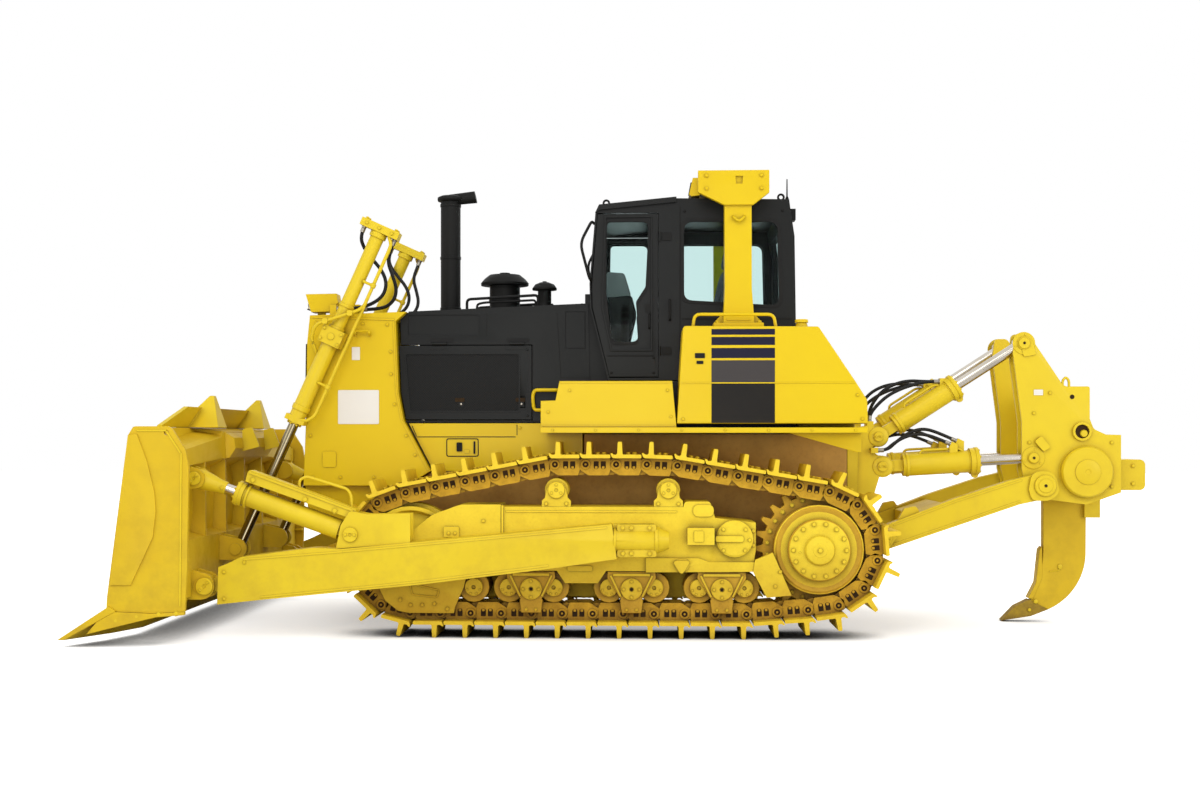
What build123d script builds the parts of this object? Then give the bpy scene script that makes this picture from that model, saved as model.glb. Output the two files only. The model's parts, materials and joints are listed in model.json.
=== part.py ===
# Crawler bulldozer with a semi-U blade and a single-shank parallelogram ripper.
#
# Units are millimetres. +X points forward to the blade, +Y to the machine's left, +Z up.
# The origin is on the ground, below the middle of the overall length, on the centre plane.
# Every piece is one node in parts/. Like pieces that one body carries share a node.
from build123d import *

import os
from math import atan2, cos, degrees, hypot, pi, radians, sin, tan

# ---------------------------------------------------------------- driving dimensions
TRACK_GAUGE = 2260                 # centre to centre of the two tracks
TRACK_Y = TRACK_GAUGE / 2
SHOE_WIDTH = 610
SHOE_COUNT = 39                    # shoes in one track
PIN_HEIGHT = 188                   # track pins above the ground on the lower run
SHOE_FACE = 80                     # pin line to the shoe plate's outer face
SHOE_BACK = 50                     # pin line to the shoe plate's inner face
GROUSER_TIP = 188                  # pin line to the grouser's tip
RAIL_FACE = 97                     # pin line to the rail that the rollers run on
RAIL_OFFSET = 118                  # track centre to the centre of each link rail
RAIL_WIDTH = 66

SPROCKET_X, SPROCKET_Z = -1572, 741
SPROCKET_PITCH_R = 503
SPROCKET_TEETH = 25
IDLER_X, IDLER_Z = 1884, 703
IDLER_PITCH_R = 515
IDLER_TREAD_R = 398
CARRIER_X = (635, -309)
CARRIER_Z = 1240
CARRIER_R = 100
CARRIER_ROOM = 24                  # the chain lies as chords over a carrier roller
ROLLER_R = 130
ROLLER_Z = PIN_HEIGHT + RAIL_FACE + ROLLER_R + 2
BOGIE_X = (849, 1, -757)
BOGIE_HALF = 190                   # bogie centre to each of its two rollers
FRONT_ROLLER_X = 1338
FRAME_HALF = 230                   # half width of a track frame

HULL_HALF = 600                    # half width of the main frame
HOOD_HALF = 600
GUARD_HALF = 690                   # radiator guard
CAB_HALF = 850
CAB_WALL = 60
FENDER_OUT = 1435
TANK_OUT = 1400
TANK_IN = 880
ROPS_IN, ROPS_OUT = 900, 1080

# pivots of the working equipment: (x, z) on the centre plane
TRUNNION = (-150, 838)             # push arms turn on the track frames
BLADE_PIN = (3568, 452)            # foot of the blade on the push arms
BRACE_PIN = (3624, 1345)           # pitch cylinder rods on the blade
BRACE_FOOT = (2320, 882)           # pitch cylinder barrels on the push arms
LIFT_TRUNNION = (2650, 2575)       # lift cylinder barrels on the radiator guard
LIFT_PIN = (3496, 700)             # lift cylinder rods on the blade
ARM_FOOT = (-2200, 805)            # ripper arms on the rear bracket
ARM_PIN = (-3613, 1262)            # ripper frame on the ripper arms
RAISE_FOOT = (-2228, 1426)         # ripper lift cylinder barrels on the rear bracket
RAISE_PIN = (-3556, 1504)          # ripper lift cylinder rods on the ripper frame
TILT_FOOT = (-2192, 1691)          # ripper tilt cylinder barrels on the rear bracket
TILT_PIN = (-3472, 2522)           # ripper tilt cylinder rods on the ripper frame

ARM_Y = 1610                       # centre of each push arm
ARM_HALF = 110
LIFT_Y = 790
RIPPER_Y = 400                     # centre of each ripper cylinder
RIPPER_ARM_IN, RIPPER_ARM_OUT = 530, 650

BLADE_HALF = 2150
BLADE_BEND = 1300                  # where the wings turn forward
BLADE_TOP = 1770
BLADE_FOOT = 330
BLADE_EYE = (3720, 1725)           # lifting eye in each end plate

FIN_Y = 820                        # spill guard fins
SLOT_CENTRE = (-3979, 1738)        # pin puller opening in the ripper frame
TANK_LEAN = 6                      # degrees that the side tank's upper part leans in
DOOR_HINGE_X = -242                # cab door hinge line
HOSE_PORTS = ((2640, 655), (2430, 590))     # (x, y) of the lift cylinders' hose ports

YOKE_SHAFT_R = 58
LIFT_BARREL_R = 72                 # lower, wider part of a lift cylinder's barrel
PIN_GAP = 3                        # radial room round a pin


# ---------------------------------------------------------------- small helpers
def turned(profile, centre, sides=28):
    """Many-sided solid about an axis across the machine. A row is (radius, y)."""
    return loft([Plane(origin=(centre[0], y, centre[1]), z_dir=(0, 1, 0))
                 * RegularPolygon(radius, sides) for radius, y in profile], ruled=True)


def spun(profile, x, y, sides=24):
    """Many-sided solid about an upright axis. A row is (radius, z)."""
    return loft([Pos(x, y, z) * RegularPolygon(radius, sides) for radius, z in profile],
                ruled=True)


def drum(centre, radius, y0, y1, sides=16):
    """Many-sided roller, boss or housing across the machine."""
    x, z = centre
    ring = [(x + radius * cos(2 * pi * i / sides), z + radius * sin(2 * pi * i / sides))
            for i in range(sides)]
    return plate(ring, y0, y1)


def block(x0, x1, y0, y1, z0, z1):
    """Box between two values on each axis."""
    box = Box(abs(x1 - x0), abs(y1 - y0), abs(z1 - z0))
    return Pos((x0 + x1) / 2, (y0 + y1) / 2, (z0 + z1) / 2) * box


def outline(corners, y=0.0):
    """Closed face in the XZ plane. A corner is (x, z) or (x, z, radius)."""
    points = [Vector(corner[0], y, corner[1]) for corner in corners]
    radii = [corner[2] if len(corner) > 2 else 0 for corner in corners]
    edges, ends = [], []
    for index, point in enumerate(points):
        radius = radii[index]
        if not radius:
            ends.append((point, point))
            continue
        back = (points[index - 1] - point).normalized()
        ahead = (points[(index + 1) % len(points)] - point).normalized()
        half = radians(back.get_angle(ahead)) / 2
        start = point + back * (radius / tan(half))
        finish = point + ahead * (radius / tan(half))
        middle = point + (back + ahead).normalized() * (radius / sin(half) - radius)
        edges.append(ThreePointArc(start, middle, finish))
        ends.append((start, finish))
    for index, (_, finish) in enumerate(ends):
        start = ends[(index + 1) % len(ends)][0]
        if (start - finish).length > 1e-6:
            edges.append(Line(finish, start))
    return make_face(Curve() + edges)


def plate(corners, y0, y1):
    """Solid with the given XZ outline between two Y values."""
    low = min(y0, y1)
    return extrude(outline(corners, low), amount=abs(y1 - y0), dir=(0, 1, 0))


def disc(centre, radius, y0, y1):
    """Round pin or boss across the machine, centred on an (x, z) point."""
    shape = Rot(90, 0, 0) * Cylinder(radius, abs(y1 - y0))
    return Pos(centre[0], (y0 + y1) / 2, centre[1]) * shape


def pole(centre, radius, z0, z1):
    """Upright pin at an (x, y) point."""
    return Pos(centre[0], centre[1], (z0 + z1) / 2) * Cylinder(radius, z1 - z0)


def between(start, finish, distance):
    """Point at a distance from start towards finish, both (x, z)."""
    length = hypot(finish[0] - start[0], finish[1] - start[1])
    share = distance / length
    return (start[0] + (finish[0] - start[0]) * share, start[1] + (finish[1] - start[1]) * share)


def rod(start, finish, radius, y):
    """Bar between two (x, z) points at one Y, with enough sides to look round."""
    a, b = Vector(start[0], y, start[1]), Vector(finish[0], y, finish[1])
    section = Plane(origin=a, z_dir=b - a) * RegularPolygon(radius, 20)
    return extrude(section, amount=(b - a).length)


def pair(part):
    """The part with its mirror image on the other side of the machine."""
    return [part, mirror(part, about=Plane.XZ)]


def solids_of(parts):
    """Flat list of the solids in parts."""
    found = []
    for part in parts:
        found.extend(part.solids())
    return found


def save(name, *parts):
    """Write one node as a STEP file."""
    solids = solids_of(parts)
    shape = solids[0] if len(solids) == 1 else Compound(children=solids)
    shape.label = name
    export_step(shape, f"parts/{name}.step")


# ---------------------------------------------------------------- track loop
def arc_points(centre, radius, start, stop, step=1.0):
    """Points on an arc, by angle in degrees."""
    count = max(2, int(abs(stop - start) / step))
    angles = [radians(start + (stop - start) * i / count) for i in range(count + 1)]
    return [(centre[0] + radius * cos(a), centre[1] + radius * sin(a)) for a in angles]


def tangent_angle(centre_a, radius_a, centre_b, radius_b):
    """Angle of the radius at which a loop leaves circle a for circle b, turning left."""
    dx, dz = centre_b[0] - centre_a[0], centre_b[1] - centre_a[1]
    heading = atan2(dz, dx)
    return degrees(heading - pi / 2 + atan2(radius_a - radius_b,
                                           (dx * dx + dz * dz - (radius_a - radius_b) ** 2) ** 0.5))


def pin_path():
    """The line of the track pins, round the machine with the inside on the left."""
    carrier_r = CARRIER_R + RAIL_FACE + CARRIER_ROOM
    foot_r = 400.0
    wheels = [
        ((IDLER_X, IDLER_Z), IDLER_PITCH_R),
        ((CARRIER_X[0], CARRIER_Z), carrier_r),
        ((CARRIER_X[1], CARRIER_Z), carrier_r),
        ((SPROCKET_X, SPROCKET_Z), SPROCKET_PITCH_R),
        ((BOGIE_X[2] - BOGIE_HALF, PIN_HEIGHT + foot_r), foot_r),
        ((FRONT_ROLLER_X, PIN_HEIGHT + foot_r), foot_r),
    ]
    path = []
    for index, (centre, radius) in enumerate(wheels):
        before = wheels[index - 1]
        after = wheels[(index + 1) % len(wheels)]
        start = tangent_angle(before[0], before[1], centre, radius)
        stop = tangent_angle(centre, radius, after[0], after[1])
        while stop < start - 1e-6:
            stop += 360
        path.extend(arc_points(centre, radius, start, stop))
    return path


def walk(path, pitch, count):
    """Pins at equal chords along the path, and the overshoot past its start."""
    loop = path + [path[0]]
    pins, index = [loop[0]], 0
    position = 0.0
    for _ in range(count):
        x0, z0 = pins[-1]
        while True:
            (ax, az), (bx, bz) = loop[index % (len(loop) - 1)], loop[index % (len(loop) - 1) + 1]
            dx, dz = bx - ax, bz - az
            fx, fz = ax - x0, az - z0
            a, b, c = dx * dx + dz * dz, 2 * (fx * dx + fz * dz), fx * fx + fz * fz - pitch * pitch
            root = b * b - 4 * a * c
            share = (-b + root ** 0.5) / (2 * a) if a > 0 and root >= 0 else 2.0
            if position <= share <= 1.0:
                pins.append((ax + dx * share, az + dz * share))
                position = share
                break
            index, position = index + 1, 0.0
    travelled = index + position
    return pins[:count], travelled


def track_pins():
    """Pins of one track, with the pitch solved so that the loop closes."""
    path = pin_path()
    segments = len(path)
    low, high = 200.0, 300.0
    for _ in range(40):
        pitch = (low + high) / 2
        _, travelled = walk(path, pitch, SHOE_COUNT)
        low, high = (pitch, high) if travelled < segments else (low, pitch)
    pins, _ = walk(path, low, SHOE_COUNT)
    return pins, low


def loop_points(pins, profile):
    """Points of a closed outline that repeats a profile on every link.

    A profile row is (share of the pitch along the link, height outside the pin line).
    """
    points = []
    for index, (x0, z0) in enumerate(pins):
        x1, z1 = pins[(index + 1) % len(pins)]
        length = hypot(x1 - x0, z1 - z0)
        along = ((x1 - x0) / length, (z1 - z0) / length)
        outward = (along[1], -along[0])
        for share, height in profile:
            points.append((x0 + along[0] * length * share + outward[0] * height,
                           z0 + along[1] * length * share + outward[1] * height))
    return points


def ring(outer, inner, y0, y1):
    """Band between two closed outlines, from y0 to y1."""
    face = outline(outer, y0) - outline(inner, y0)
    return extrude(face, amount=y1 - y0, dir=(0, 1, 0))


def track(side):
    """Shoes with their grousers, and the two rails of links, as one loop."""
    pins, _ = track_pins()
    middle = side * TRACK_Y
    shoe_outside = [(-0.14, SHOE_FACE + 8), (0.06, SHOE_FACE), (0.09, GROUSER_TIP),
                    (0.19, GROUSER_TIP), (0.22, SHOE_FACE), (0.84, SHOE_FACE)]
    shoe_inside = [(-0.12, SHOE_BACK), (0.82, SHOE_BACK)]
    rail_outside = [(0.05, SHOE_BACK + 4), (0.95, SHOE_BACK + 4)]
    rail_inside = [(0.14, -RAIL_FACE), (0.86, -RAIL_FACE)]
    loop = ring(loop_points(pins, shoe_outside), loop_points(pins, shoe_inside),
                middle - SHOE_WIDTH / 2, middle + SHOE_WIDTH / 2)
    for sign in (-1, 1):
        centre = middle + sign * RAIL_OFFSET
        loop += ring(loop_points(pins, rail_outside), loop_points(pins, rail_inside),
                     centre - RAIL_WIDTH / 2, centre + RAIL_WIDTH / 2)
    return loop


# ---------------------------------------------------------------- undercarriage
def sprocket():
    """Toothed wheel between the link rails, on the left."""
    points = []
    tooth = 360 / SPROCKET_TEETH
    for index in range(SPROCKET_TEETH):
        for share, radius in ((-0.30, 462), (-0.12, 530), (0.12, 530), (0.30, 462)):
            angle = radians((index + share) * tooth)
            points.append((SPROCKET_X + radius * cos(angle), SPROCKET_Z + radius * sin(angle)))
    return plate(points, TRACK_Y - 45, TRACK_Y + 45)


def final_drive():
    """Housing inside the sprocket, and the dished drum with its raised hub, on the left."""
    centre = (SPROCKET_X, SPROCKET_Z)
    near = TRACK_Y + 45
    cover = turned([(378, near), (378, near + 120), (352, near + 138)], centre, 32)
    cover -= turned([(262, near + 96), (353, near + 139)], centre, 32)
    cover += turned([(262, near + 60), (262, near + 172), (244, near + 190)], centre)
    cover += turned([(128, near + 180), (128, near + 196), (112, near + 222)], centre, 16)
    return [drum(centre, 375, HULL_HALF, TRACK_Y - 45, 24), cover]


def idler():
    """Front idler: tread, centre flange and dished sides, on the left."""
    centre = (IDLER_X, IDLER_Z)
    wheel = drum(centre, IDLER_TREAD_R, TRACK_Y - 160, TRACK_Y + 160, 32)
    wheel += drum(centre, IDLER_TREAD_R + 30, TRACK_Y - 75, TRACK_Y + 75, 32)
    wheel -= turned([(340, TRACK_Y + 96), (362, TRACK_Y + 161)], centre)
    wheel -= turned([(362, TRACK_Y - 161), (340, TRACK_Y - 96)], centre)
    return wheel + drum(centre, 105, TRACK_Y - 182, TRACK_Y + 182)


def track_frame():
    """Box frame inside the track with its idler cheeks, guides and trunnion, on the left."""
    low, high = TRACK_Y - FRAME_HALF, TRACK_Y + FRAME_HALF
    body = plate([(1380, 560), (1400, 1100, 120), (-434, 1100), (-446, 1145, 30),
                  (-660, 1145, 30), (-700, 1010), (-1040, 970), (-1040, 740), (-1010, 560)],
                 low, high)
    cheek = [(1104, 640), (1104, 1118), (1446, 1118, 200), (1690, 1030, 260), (1870, 880, 60),
             (1960, 790), (1975, 640), (1380, 570)]
    for y0, y1 in ((low - 10, TRACK_Y - 182), (TRACK_Y + 182, high + 12)):
        body += plate(cheek, y0, y1)
    chain_guide = [(1380, 600), (1960, 620), (2150, 420), (2090, 300), (1985, 215, 40),
                   (1890, 196), (1506, 196), (1496, 250), (1420, 420)]
    body += plate(chain_guide, TRACK_Y + 182, TRACK_Y + 206)
    rail = [(-120, 552), (-120, 672), (-560, 672), (-650, 640), (-1030, 640), (-1150, 410),
            (-1116, 365), (-1020, 560)]
    pad = [(-335, 664, 40), (-509, 664, 40), (-422, 480, 60)]
    brace = [(630, 610), (630, 560), (560, 457), (285, 457), (215, 560), (215, 610)]
    shelf = [(-1032, 660), (-1180, 720), (-1335, 365), (-1130, 345), (-1016, 560)]
    for outline_rows, y0, y1 in ((rail, high - 5, high + 22), (pad, high - 5, high + 38),
                                 (brace, high - 60, high), (shelf, high - 30, high + 30)):
        body += plate(outline_rows, y0, y1)
    body += turned([(155, high - 5), (155, high + 38), (140, high + 50)], (-861, 837), 24)
    socket = plate([(-466, 790), (-466, 930), (-690, 930), (-690, 790)], high, high + 110)
    trunnion = disc(TRUNNION, 90, high, ARM_Y + 40)
    return body + socket + trunnion


def rollers():
    """Track rollers with their bogie plates and chain guides, on the left."""
    found = []
    for x in BOGIE_X:
        for offset in (-BOGIE_HALF, BOGIE_HALF):
            found.append(drum((x + offset, ROLLER_Z), ROLLER_R, TRACK_Y - 170, TRACK_Y + 170, 16))
        bracket = [(x - 200, 555), (x + 200, 555), (x + 205, 500), (x + 88, 322), (x + 97, 316),
                   (x + 82, 205), (x - 82, 205), (x - 97, 316), (x - 88, 322), (x - 205, 500)]
        for sign in (-1, 1):
            y = TRACK_Y + sign * 196
            found.append(plate(bracket, y - 26, y + 26))
    found.append(drum((FRONT_ROLLER_X, ROLLER_Z), ROLLER_R, TRACK_Y - 170, TRACK_Y + 170, 16))
    return found


def carriers():
    """Carrier rollers on their posts, on the left."""
    found = []
    for x in CARRIER_X:
        wheel = drum((x, CARRIER_Z), CARRIER_R, TRACK_Y - 155, TRACK_Y + 172, 20)
        post = plate([(x - 122, 1100), (x + 122, 1100), (x + 122, 1150), (x + 96, 1176),
                      (x + 84, CARRIER_Z), (x + 50, CARRIER_Z + 62), (x - 50, CARRIER_Z + 62),
                      (x - 84, CARRIER_Z), (x - 96, 1176), (x - 122, 1150)],
                     TRACK_Y + 170, TRACK_Y + 225)
        found.append(wheel + post)
    return found


# ---------------------------------------------------------------- main frame and engine
def hull():
    """Main frame from the radiator guard to the rear case."""
    side = [(-1900, 760), (-1700, 560), (1850, 560), (2000, 760), (2000, 1250), (1790, 1380),
            (430, 1380), (430, 1720), (-1900, 1720)]
    return plate(side, -HULL_HALF, HULL_HALF)


def radiator_guard():
    """Housing round the radiator with its grille opening, lamp boxes and hose ports."""
    side = [(2878, 2777), *GUARD_REAR, (2005, 1255), (2936, 1255), (2914, 1805), (2905, 2509)]
    body = plate(side, -GUARD_HALF, GUARD_HALF)
    nose = plate([(2936, 1255), (2005, 1255), (2005, 760), (2150, 640), (2900, 900)],
                 -HULL_HALF, HULL_HALF)
    opening = block(2780, 3000, -560, 560, 1420, 2620)
    sockets = drum(LIFT_TRUNNION, YOKE_SHAFT_R + PIN_GAP, GUARD_HALF - 65, GUARD_HALF + 5, 24)
    body = body + nose - opening
    for socket in pair(sockets):
        body -= socket
    lamp = plate([(2875, 2808), (2710, 2812), (2630, 2895), (2645, 2975), (2925, 2970)],
                 480, 650)
    lamp -= plate([(2905, 2830), (2905, 2950), (2960, 2950), (2960, 2830)], 500, 630)
    for part in pair(lamp + block(2760, 2830, 545, 585, 2770, 2815)):
        body += part
    for x, y in HOSE_PORTS:
        for part in pair(block(x, x + 60, y - 28, y + 28, 2770, 2870)):
            body += part
    return body


def grille():
    """Slats across the radiator opening."""
    frame = block(2790, 2830, -556, 556, 1424, 2616) - block(2780, 2840, -520, 520, 1460, 2580)
    for index in range(9):
        z = 1560 + index * 115
        frame += block(2796, 2824, -525, 525, z - 14, z + 14)
    return frame


def engine():
    """Engine and its gearbox as one block."""
    return block(600, 1780, -380, 380, 1382, 2480)


GUARD_REAR = [(2010, 2806), (2107, 2722), (2098, 2489), (2080, 2080), (2035, 1840), (1794, 1387)]
DOOR_FRONT = [(2024, 1845), (2069, 2080), (2086, 2508)]
DOOR_BACK_X = 897
DOOR_LOW, DOOR_HIGH = 1845, 2508
HINGE_R = 14                       # door hinge knuckles
def hood_block():
    """Outer form of the engine hood."""
    side = [(2080, 2812), (389, 2882), (372, 1822), (2045, 1818)]
    return plate(side, -HOOD_HALF, HOOD_HALF)


def hood():
    """Engine hood: top, sides with the door openings, panel recesses and hinge knuckles."""
    shell = hood_block()
    inside = plate([(2300, 2760), (600, 2830), (600, 1700), (2300, 1700)],
                   -HOOD_HALF + 40, HOOD_HALF - 40)
    door_way = plate([(DOOR_BACK_X - 8, DOOR_LOW - 8), (2300, DOOR_LOW - 8),
                      (2300, DOOR_HIGH + 8), (DOOR_BACK_X - 8, DOOR_HIGH + 8)], -900, 900)
    recess = plate([(1369, 2602), (2008, 2602), (2008, 2783), (1369, 2783)],
                   HOOD_HALF - 10, HOOD_HALF + 10)
    locker = ring([(415, 2478), (595, 2478), (595, 2809), (415, 2809)],
                  [(421, 2484), (589, 2484), (589, 2803), (421, 2803)],
                  HOOD_HALF - 6, HOOD_HALF + 6)
    clear = plate([(x - 6, z) for x, z in GUARD_REAR] + [(1900, 1300), (2500, 1300),
                                                         (2500, 2960), (2004, 2960)],
                  -GUARD_HALF, GUARD_HALF)
    shell = shell - inside - door_way - clear
    for part in pair(recess) + pair(locker):
        shell -= part
    for x0, x1 in ((1660, 1790), (960, 1090)):
        for part in pair(hinge_knuckle(x0, x1)):
            shell += part
    return shell


def hinge_knuckle(x0, x1):
    """Round knuckle on the hinge line of the left engine door."""
    middle = Pos((x0 + x1) / 2, HOOD_HALF + 8, DOOR_HIGH + 16) * Rot(0, 90, 0)
    return middle * Cylinder(HINGE_R, x1 - x0)


def engine_door():
    """Hinged side door of the engine bay with its mesh panel and latches, on the left."""
    door = plate([(DOOR_BACK_X, DOOR_LOW), *DOOR_FRONT, (DOOR_BACK_X, DOOR_HIGH)],
                 HOOD_HALF - 38, HOOD_HALF)
    mesh = plate([(1010, 1921), (1990, 1921), (2034, 2433), (1010, 2433)],
                 HOOD_HALF - 9, HOOD_HALF + 9)
    door -= mesh
    for x in (988, 1531):
        door -= block(x - 34, x + 34, HOOD_HALF - 20, HOOD_HALF + 9, 1950, 2052)
        door += block(x - 26, x + 26, HOOD_HALF - 22, HOOD_HALF - 4, 1956, 2012)
    return door


def side_panel():
    """Yellow panel below the hood, on the left."""
    return plate([(1784, 1384), (2008, 1812), (440, 1812), (440, 1384)],
                 HOOD_HALF - 60, HOOD_HALF)


def exhaust():
    """Exhaust stack on its base, with its collar and turned outlet."""
    base = plate([(1800, 2824), (1790, 2860), (1606, 2860), (1596, 2832.5)], -104, 104)
    stack = spun([(93, 2858), (93, 3885), (118, 3890), (124, 3905), (122, 3925), (92, 3940)],
                 1698, 0)
    mouth = loft([Plane(origin=(x, 0, z), z_dir=(-1, 0, 0.22)) * RegularPolygon(radius, 20)
                  for x, z, radius in ((1700, 3905, 52), (1462, 3930, 57))], ruled=True)
    return base + stack + mouth


def air_cleaners():
    """Two mushroom air intakes on the hood."""
    large = spun([(142, 2866), (142, 3096), (222, 3100), (224, 3122), (192, 3160),
                  (142, 3200)], 1190, 0)
    large += plate([(1335, 2843.2), (1330, 2868), (1050, 2868), (1045, 2855.2)], -146, 146)
    small = spun([(68, 2876), (62, 2920), (62, 3034), (112, 3038), (114, 3054), (88, 3090),
                  (40, 3110)], 806, 200, 20)
    small += plate([(874, 2862.3), (872, 2878), (740, 2878), (738, 2868)], 132, 268)
    return [large, small]


# ---------------------------------------------------------------- cab
CAB_SIDE = [(208, 2186), (366, 2819), (372, 3030), (319, 3663), (285, 3715), (-388, 3775),
            (-1367, 3759), (-1381, 3656), (-1414, 3438), (-1433, 2186)]
DOOR_SIDE = [(196, 2215), (345, 2822), (350, 3028), (300, 3640), (-228, 3640), (-228, 2215)]
DOOR_WINDOW = [(180, 2510, 60), (240, 2975, 60), (222, 3580, 40), (-150, 3580, 60),
               (-130, 3000, 60), (-40, 2860, 60), (-60, 2510, 60)]
SIDE_WINDOW = [(-445, 2877, 80), (-445, 3575, 80), (-1273, 3571, 80), (-1290, 2826, 80)]


def cab_shell():
    """Hollow cab with its window openings, roof edge and door hinges."""
    shell = plate(CAB_SIDE, -CAB_HALF, CAB_HALF)
    inside = plate([(140, 2246), (300, 2819), (306, 3030), (255, 3650), (-388, 3700),
                    (-1310, 3690), (-1350, 3438), (-1370, 2246)],
                   -CAB_HALF + CAB_WALL, CAB_HALF - CAB_WALL)
    shell -= inside
    for sign in (-1, 1):
        shell -= plate(grow(DOOR_SIDE, 8), sign * (CAB_HALF - 80), sign * (CAB_HALF + 20))
        shell -= plate(SIDE_WINDOW, sign * (CAB_HALF - 80), sign * (CAB_HALF + 20))
    front = block(200, 500, -760, 760, 2900, 3600)
    rear = block(-1500, -1300, -700, 700, 2860, 3560)
    shell = shell - front - rear
    gutter = [(322, 3650), (288, 3722), (-388, 3786), (-388, 3740), (280, 3676)]
    for part in pair(plate(gutter, CAB_HALF, CAB_HALF + 24)):
        shell += part
    for z in (2440, 3440):
        for part in pair(pole((DOOR_HINGE_X, CAB_HALF + 8), 12, z - 40, z + 40)):
            shell += part
    return shell


def grow(corners, amount):
    """Corners of a convex outline moved outwards from its middle."""
    cx = sum(corner[0] for corner in corners) / len(corners)
    cz = sum(corner[1] for corner in corners) / len(corners)
    moved = []
    for corner in corners:
        dx, dz = corner[0] - cx, corner[1] - cz
        share = 1 + amount / hypot(dx, dz) * 1.25
        moved.append((cx + dx * share, cz + dz * share) + tuple(corner[2:]))
    return moved


def cab_door():
    """Cab door with its window cut and its handle, on the left."""
    door = plate(DOOR_SIDE, CAB_HALF - 55, CAB_HALF)
    door -= plate(DOOR_WINDOW, CAB_HALF - 80, CAB_HALF + 20)
    frame = ring([(186, 2440), (262, 2800), (262, 3010), (240, 3622), (-180, 3622),
                  (-180, 2440)], [(172, 2456), (246, 2802), (246, 3008), (225, 3606),
                                  (-164, 3606), (-164, 2456)], CAB_HALF, CAB_HALF + 12)
    return door + frame


def door_glass():
    """Pane in the cab door, on the left."""
    return plate(DOOR_WINDOW, CAB_HALF - 32, CAB_HALF - 24)


def cab_glass():
    """Fixed panes: two sides, front and rear."""
    side = plate(SIDE_WINDOW, CAB_HALF - 32, CAB_HALF - 24)
    front = plate([(364, 2900), (372, 2900), (373, 3028), (325, 3600), (317, 3600),
                   (365, 3028)], -760, 760)
    rear = plate([(-1415, 2860), (-1405, 2860), (-1400, 3438), (-1385, 3560), (-1393, 3560),
                  (-1409, 3438)], -700, 700)
    return pair(side) + [front, rear]


def seat():
    """Operator's seat on its base."""
    base = block(-760, -340, -190, 190, 2246, 2560)
    cushion = block(-800, -280, -250, 250, 2560, 2700)
    back = plate([(-700, 2700), (-820, 3250), (-930, 3250), (-830, 2700)], -240, 240)
    return base + cushion + back


def console():
    """Dashboard and side consoles."""
    found = [block(20, 120, -300, 300, 2246, 2900)]
    found += pair(block(-800, -150, 330, 520, 2246, 2760))
    return found


# ---------------------------------------------------------------- rollover bar, tanks, fenders
def rollover_post():
    """Post of the rollover bar with its foot and end plate, on the left."""
    post = plate([(-795, 3760), (-1027, 3760), (-1030, 2960), (-1050, 2700), (-1050, 2650),
                  (-786, 2650), (-786, 2700), (-798, 2960)], ROPS_IN, ROPS_OUT - 30)
    foot = block(-1130, -700, ROPS_IN - 20, ROPS_OUT, 2622, 2668)
    end = plate([(-568, 3976), (-1177, 3976), (-1177, 3785), (-1040, 3680), (-791, 3680),
                 (-568, 3790)], ROPS_OUT - 60, ROPS_OUT)
    end -= plate([(-888, 3926), (-952, 3926), (-946, 3862), (-894, 3862)], ROPS_OUT - 20,
                 ROPS_OUT + 20)
    for part in (rib_wedge(-700, -786), rib_wedge(-1130, -1050)):
        post += part
    return post + foot + end


def rib_wedge(outer_x, inner_x):
    """Triangular rib between the foot and one face of the left rollover post."""
    return plate([(outer_x, 2668), (inner_x, 2668), (inner_x, 2760)], ROPS_IN + 50,
                 ROPS_IN + 80)


def rollover_beam():
    """Beam of the rollover bar across the cab roof, with its two lamps."""
    beam = plate([(-590, 3962), (-1160, 3962), (-1160, 3830), (-1100, 3795), (-640, 3795),
                  (-590, 3830)], -ROPS_OUT + 60, ROPS_OUT - 60)
    for part in pair(plate([(-592, 3950), (-592, 3800), (-520, 3790), (-498, 3806),
                            (-530, 3950)], 640, 860)):
        beam += part
    return beam


def side_tank():
    """Box over the rear fender, its upper part leaning in, with its filler, on the left."""
    side = [(-430, 2620, 30), (-1559, 2612, 30), (-1869, 2147), (-1962, 1998), (-1968, 1800),
            (-378, 1800)]
    body = plate(side, TANK_IN, TANK_OUT)
    lean = Pos(-1200, TANK_OUT, 2141) * Rot(-TANK_LEAN, 0, 0)
    wedge = lean * Box(2400, 300, 900, align=(Align.CENTER, Align.MIN, Align.MIN))
    body = body - wedge
    filler = spun([(52, 2600), (52, 2632), (44, 2662)], -1440, 1180, 16)
    return body + filler


def rear_tank():
    """Fuel tank across the machine behind the cab."""
    side = [(-1440, 2600), (-1559, 2600), (-1869, 2147), (-1930, 1998), (-1930, 1770),
            (-1440, 1770)]
    return plate(side, -TANK_IN + 2, TANK_IN - 2)


def cab_floor():
    """Deck that the cab stands on."""
    return block(-1436, 205, -CAB_HALF, CAB_HALF, 1725, 2180)


def fender():
    """Fender with its edge rib and the stepped front deck box, on the left."""
    sheet = block(-1960, 765, HULL_HALF + 5, FENDER_OUT, 1724, 1768)
    box = plate([(764, 1768), (764, 1992), (640, 1996), (606, 2159), (-340, 2159),
                 (-376, 1768)], CAB_HALF + 8, TANK_OUT)
    gusset = plate([(-1940, 1724), (-1330, 1724), (-1900, 1560), (-1940, 1560)], 1180, 1200)
    return sheet - block(-1970, 240, 0, CAB_HALF + 2, 1700, 1800) + box + gusset


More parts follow.
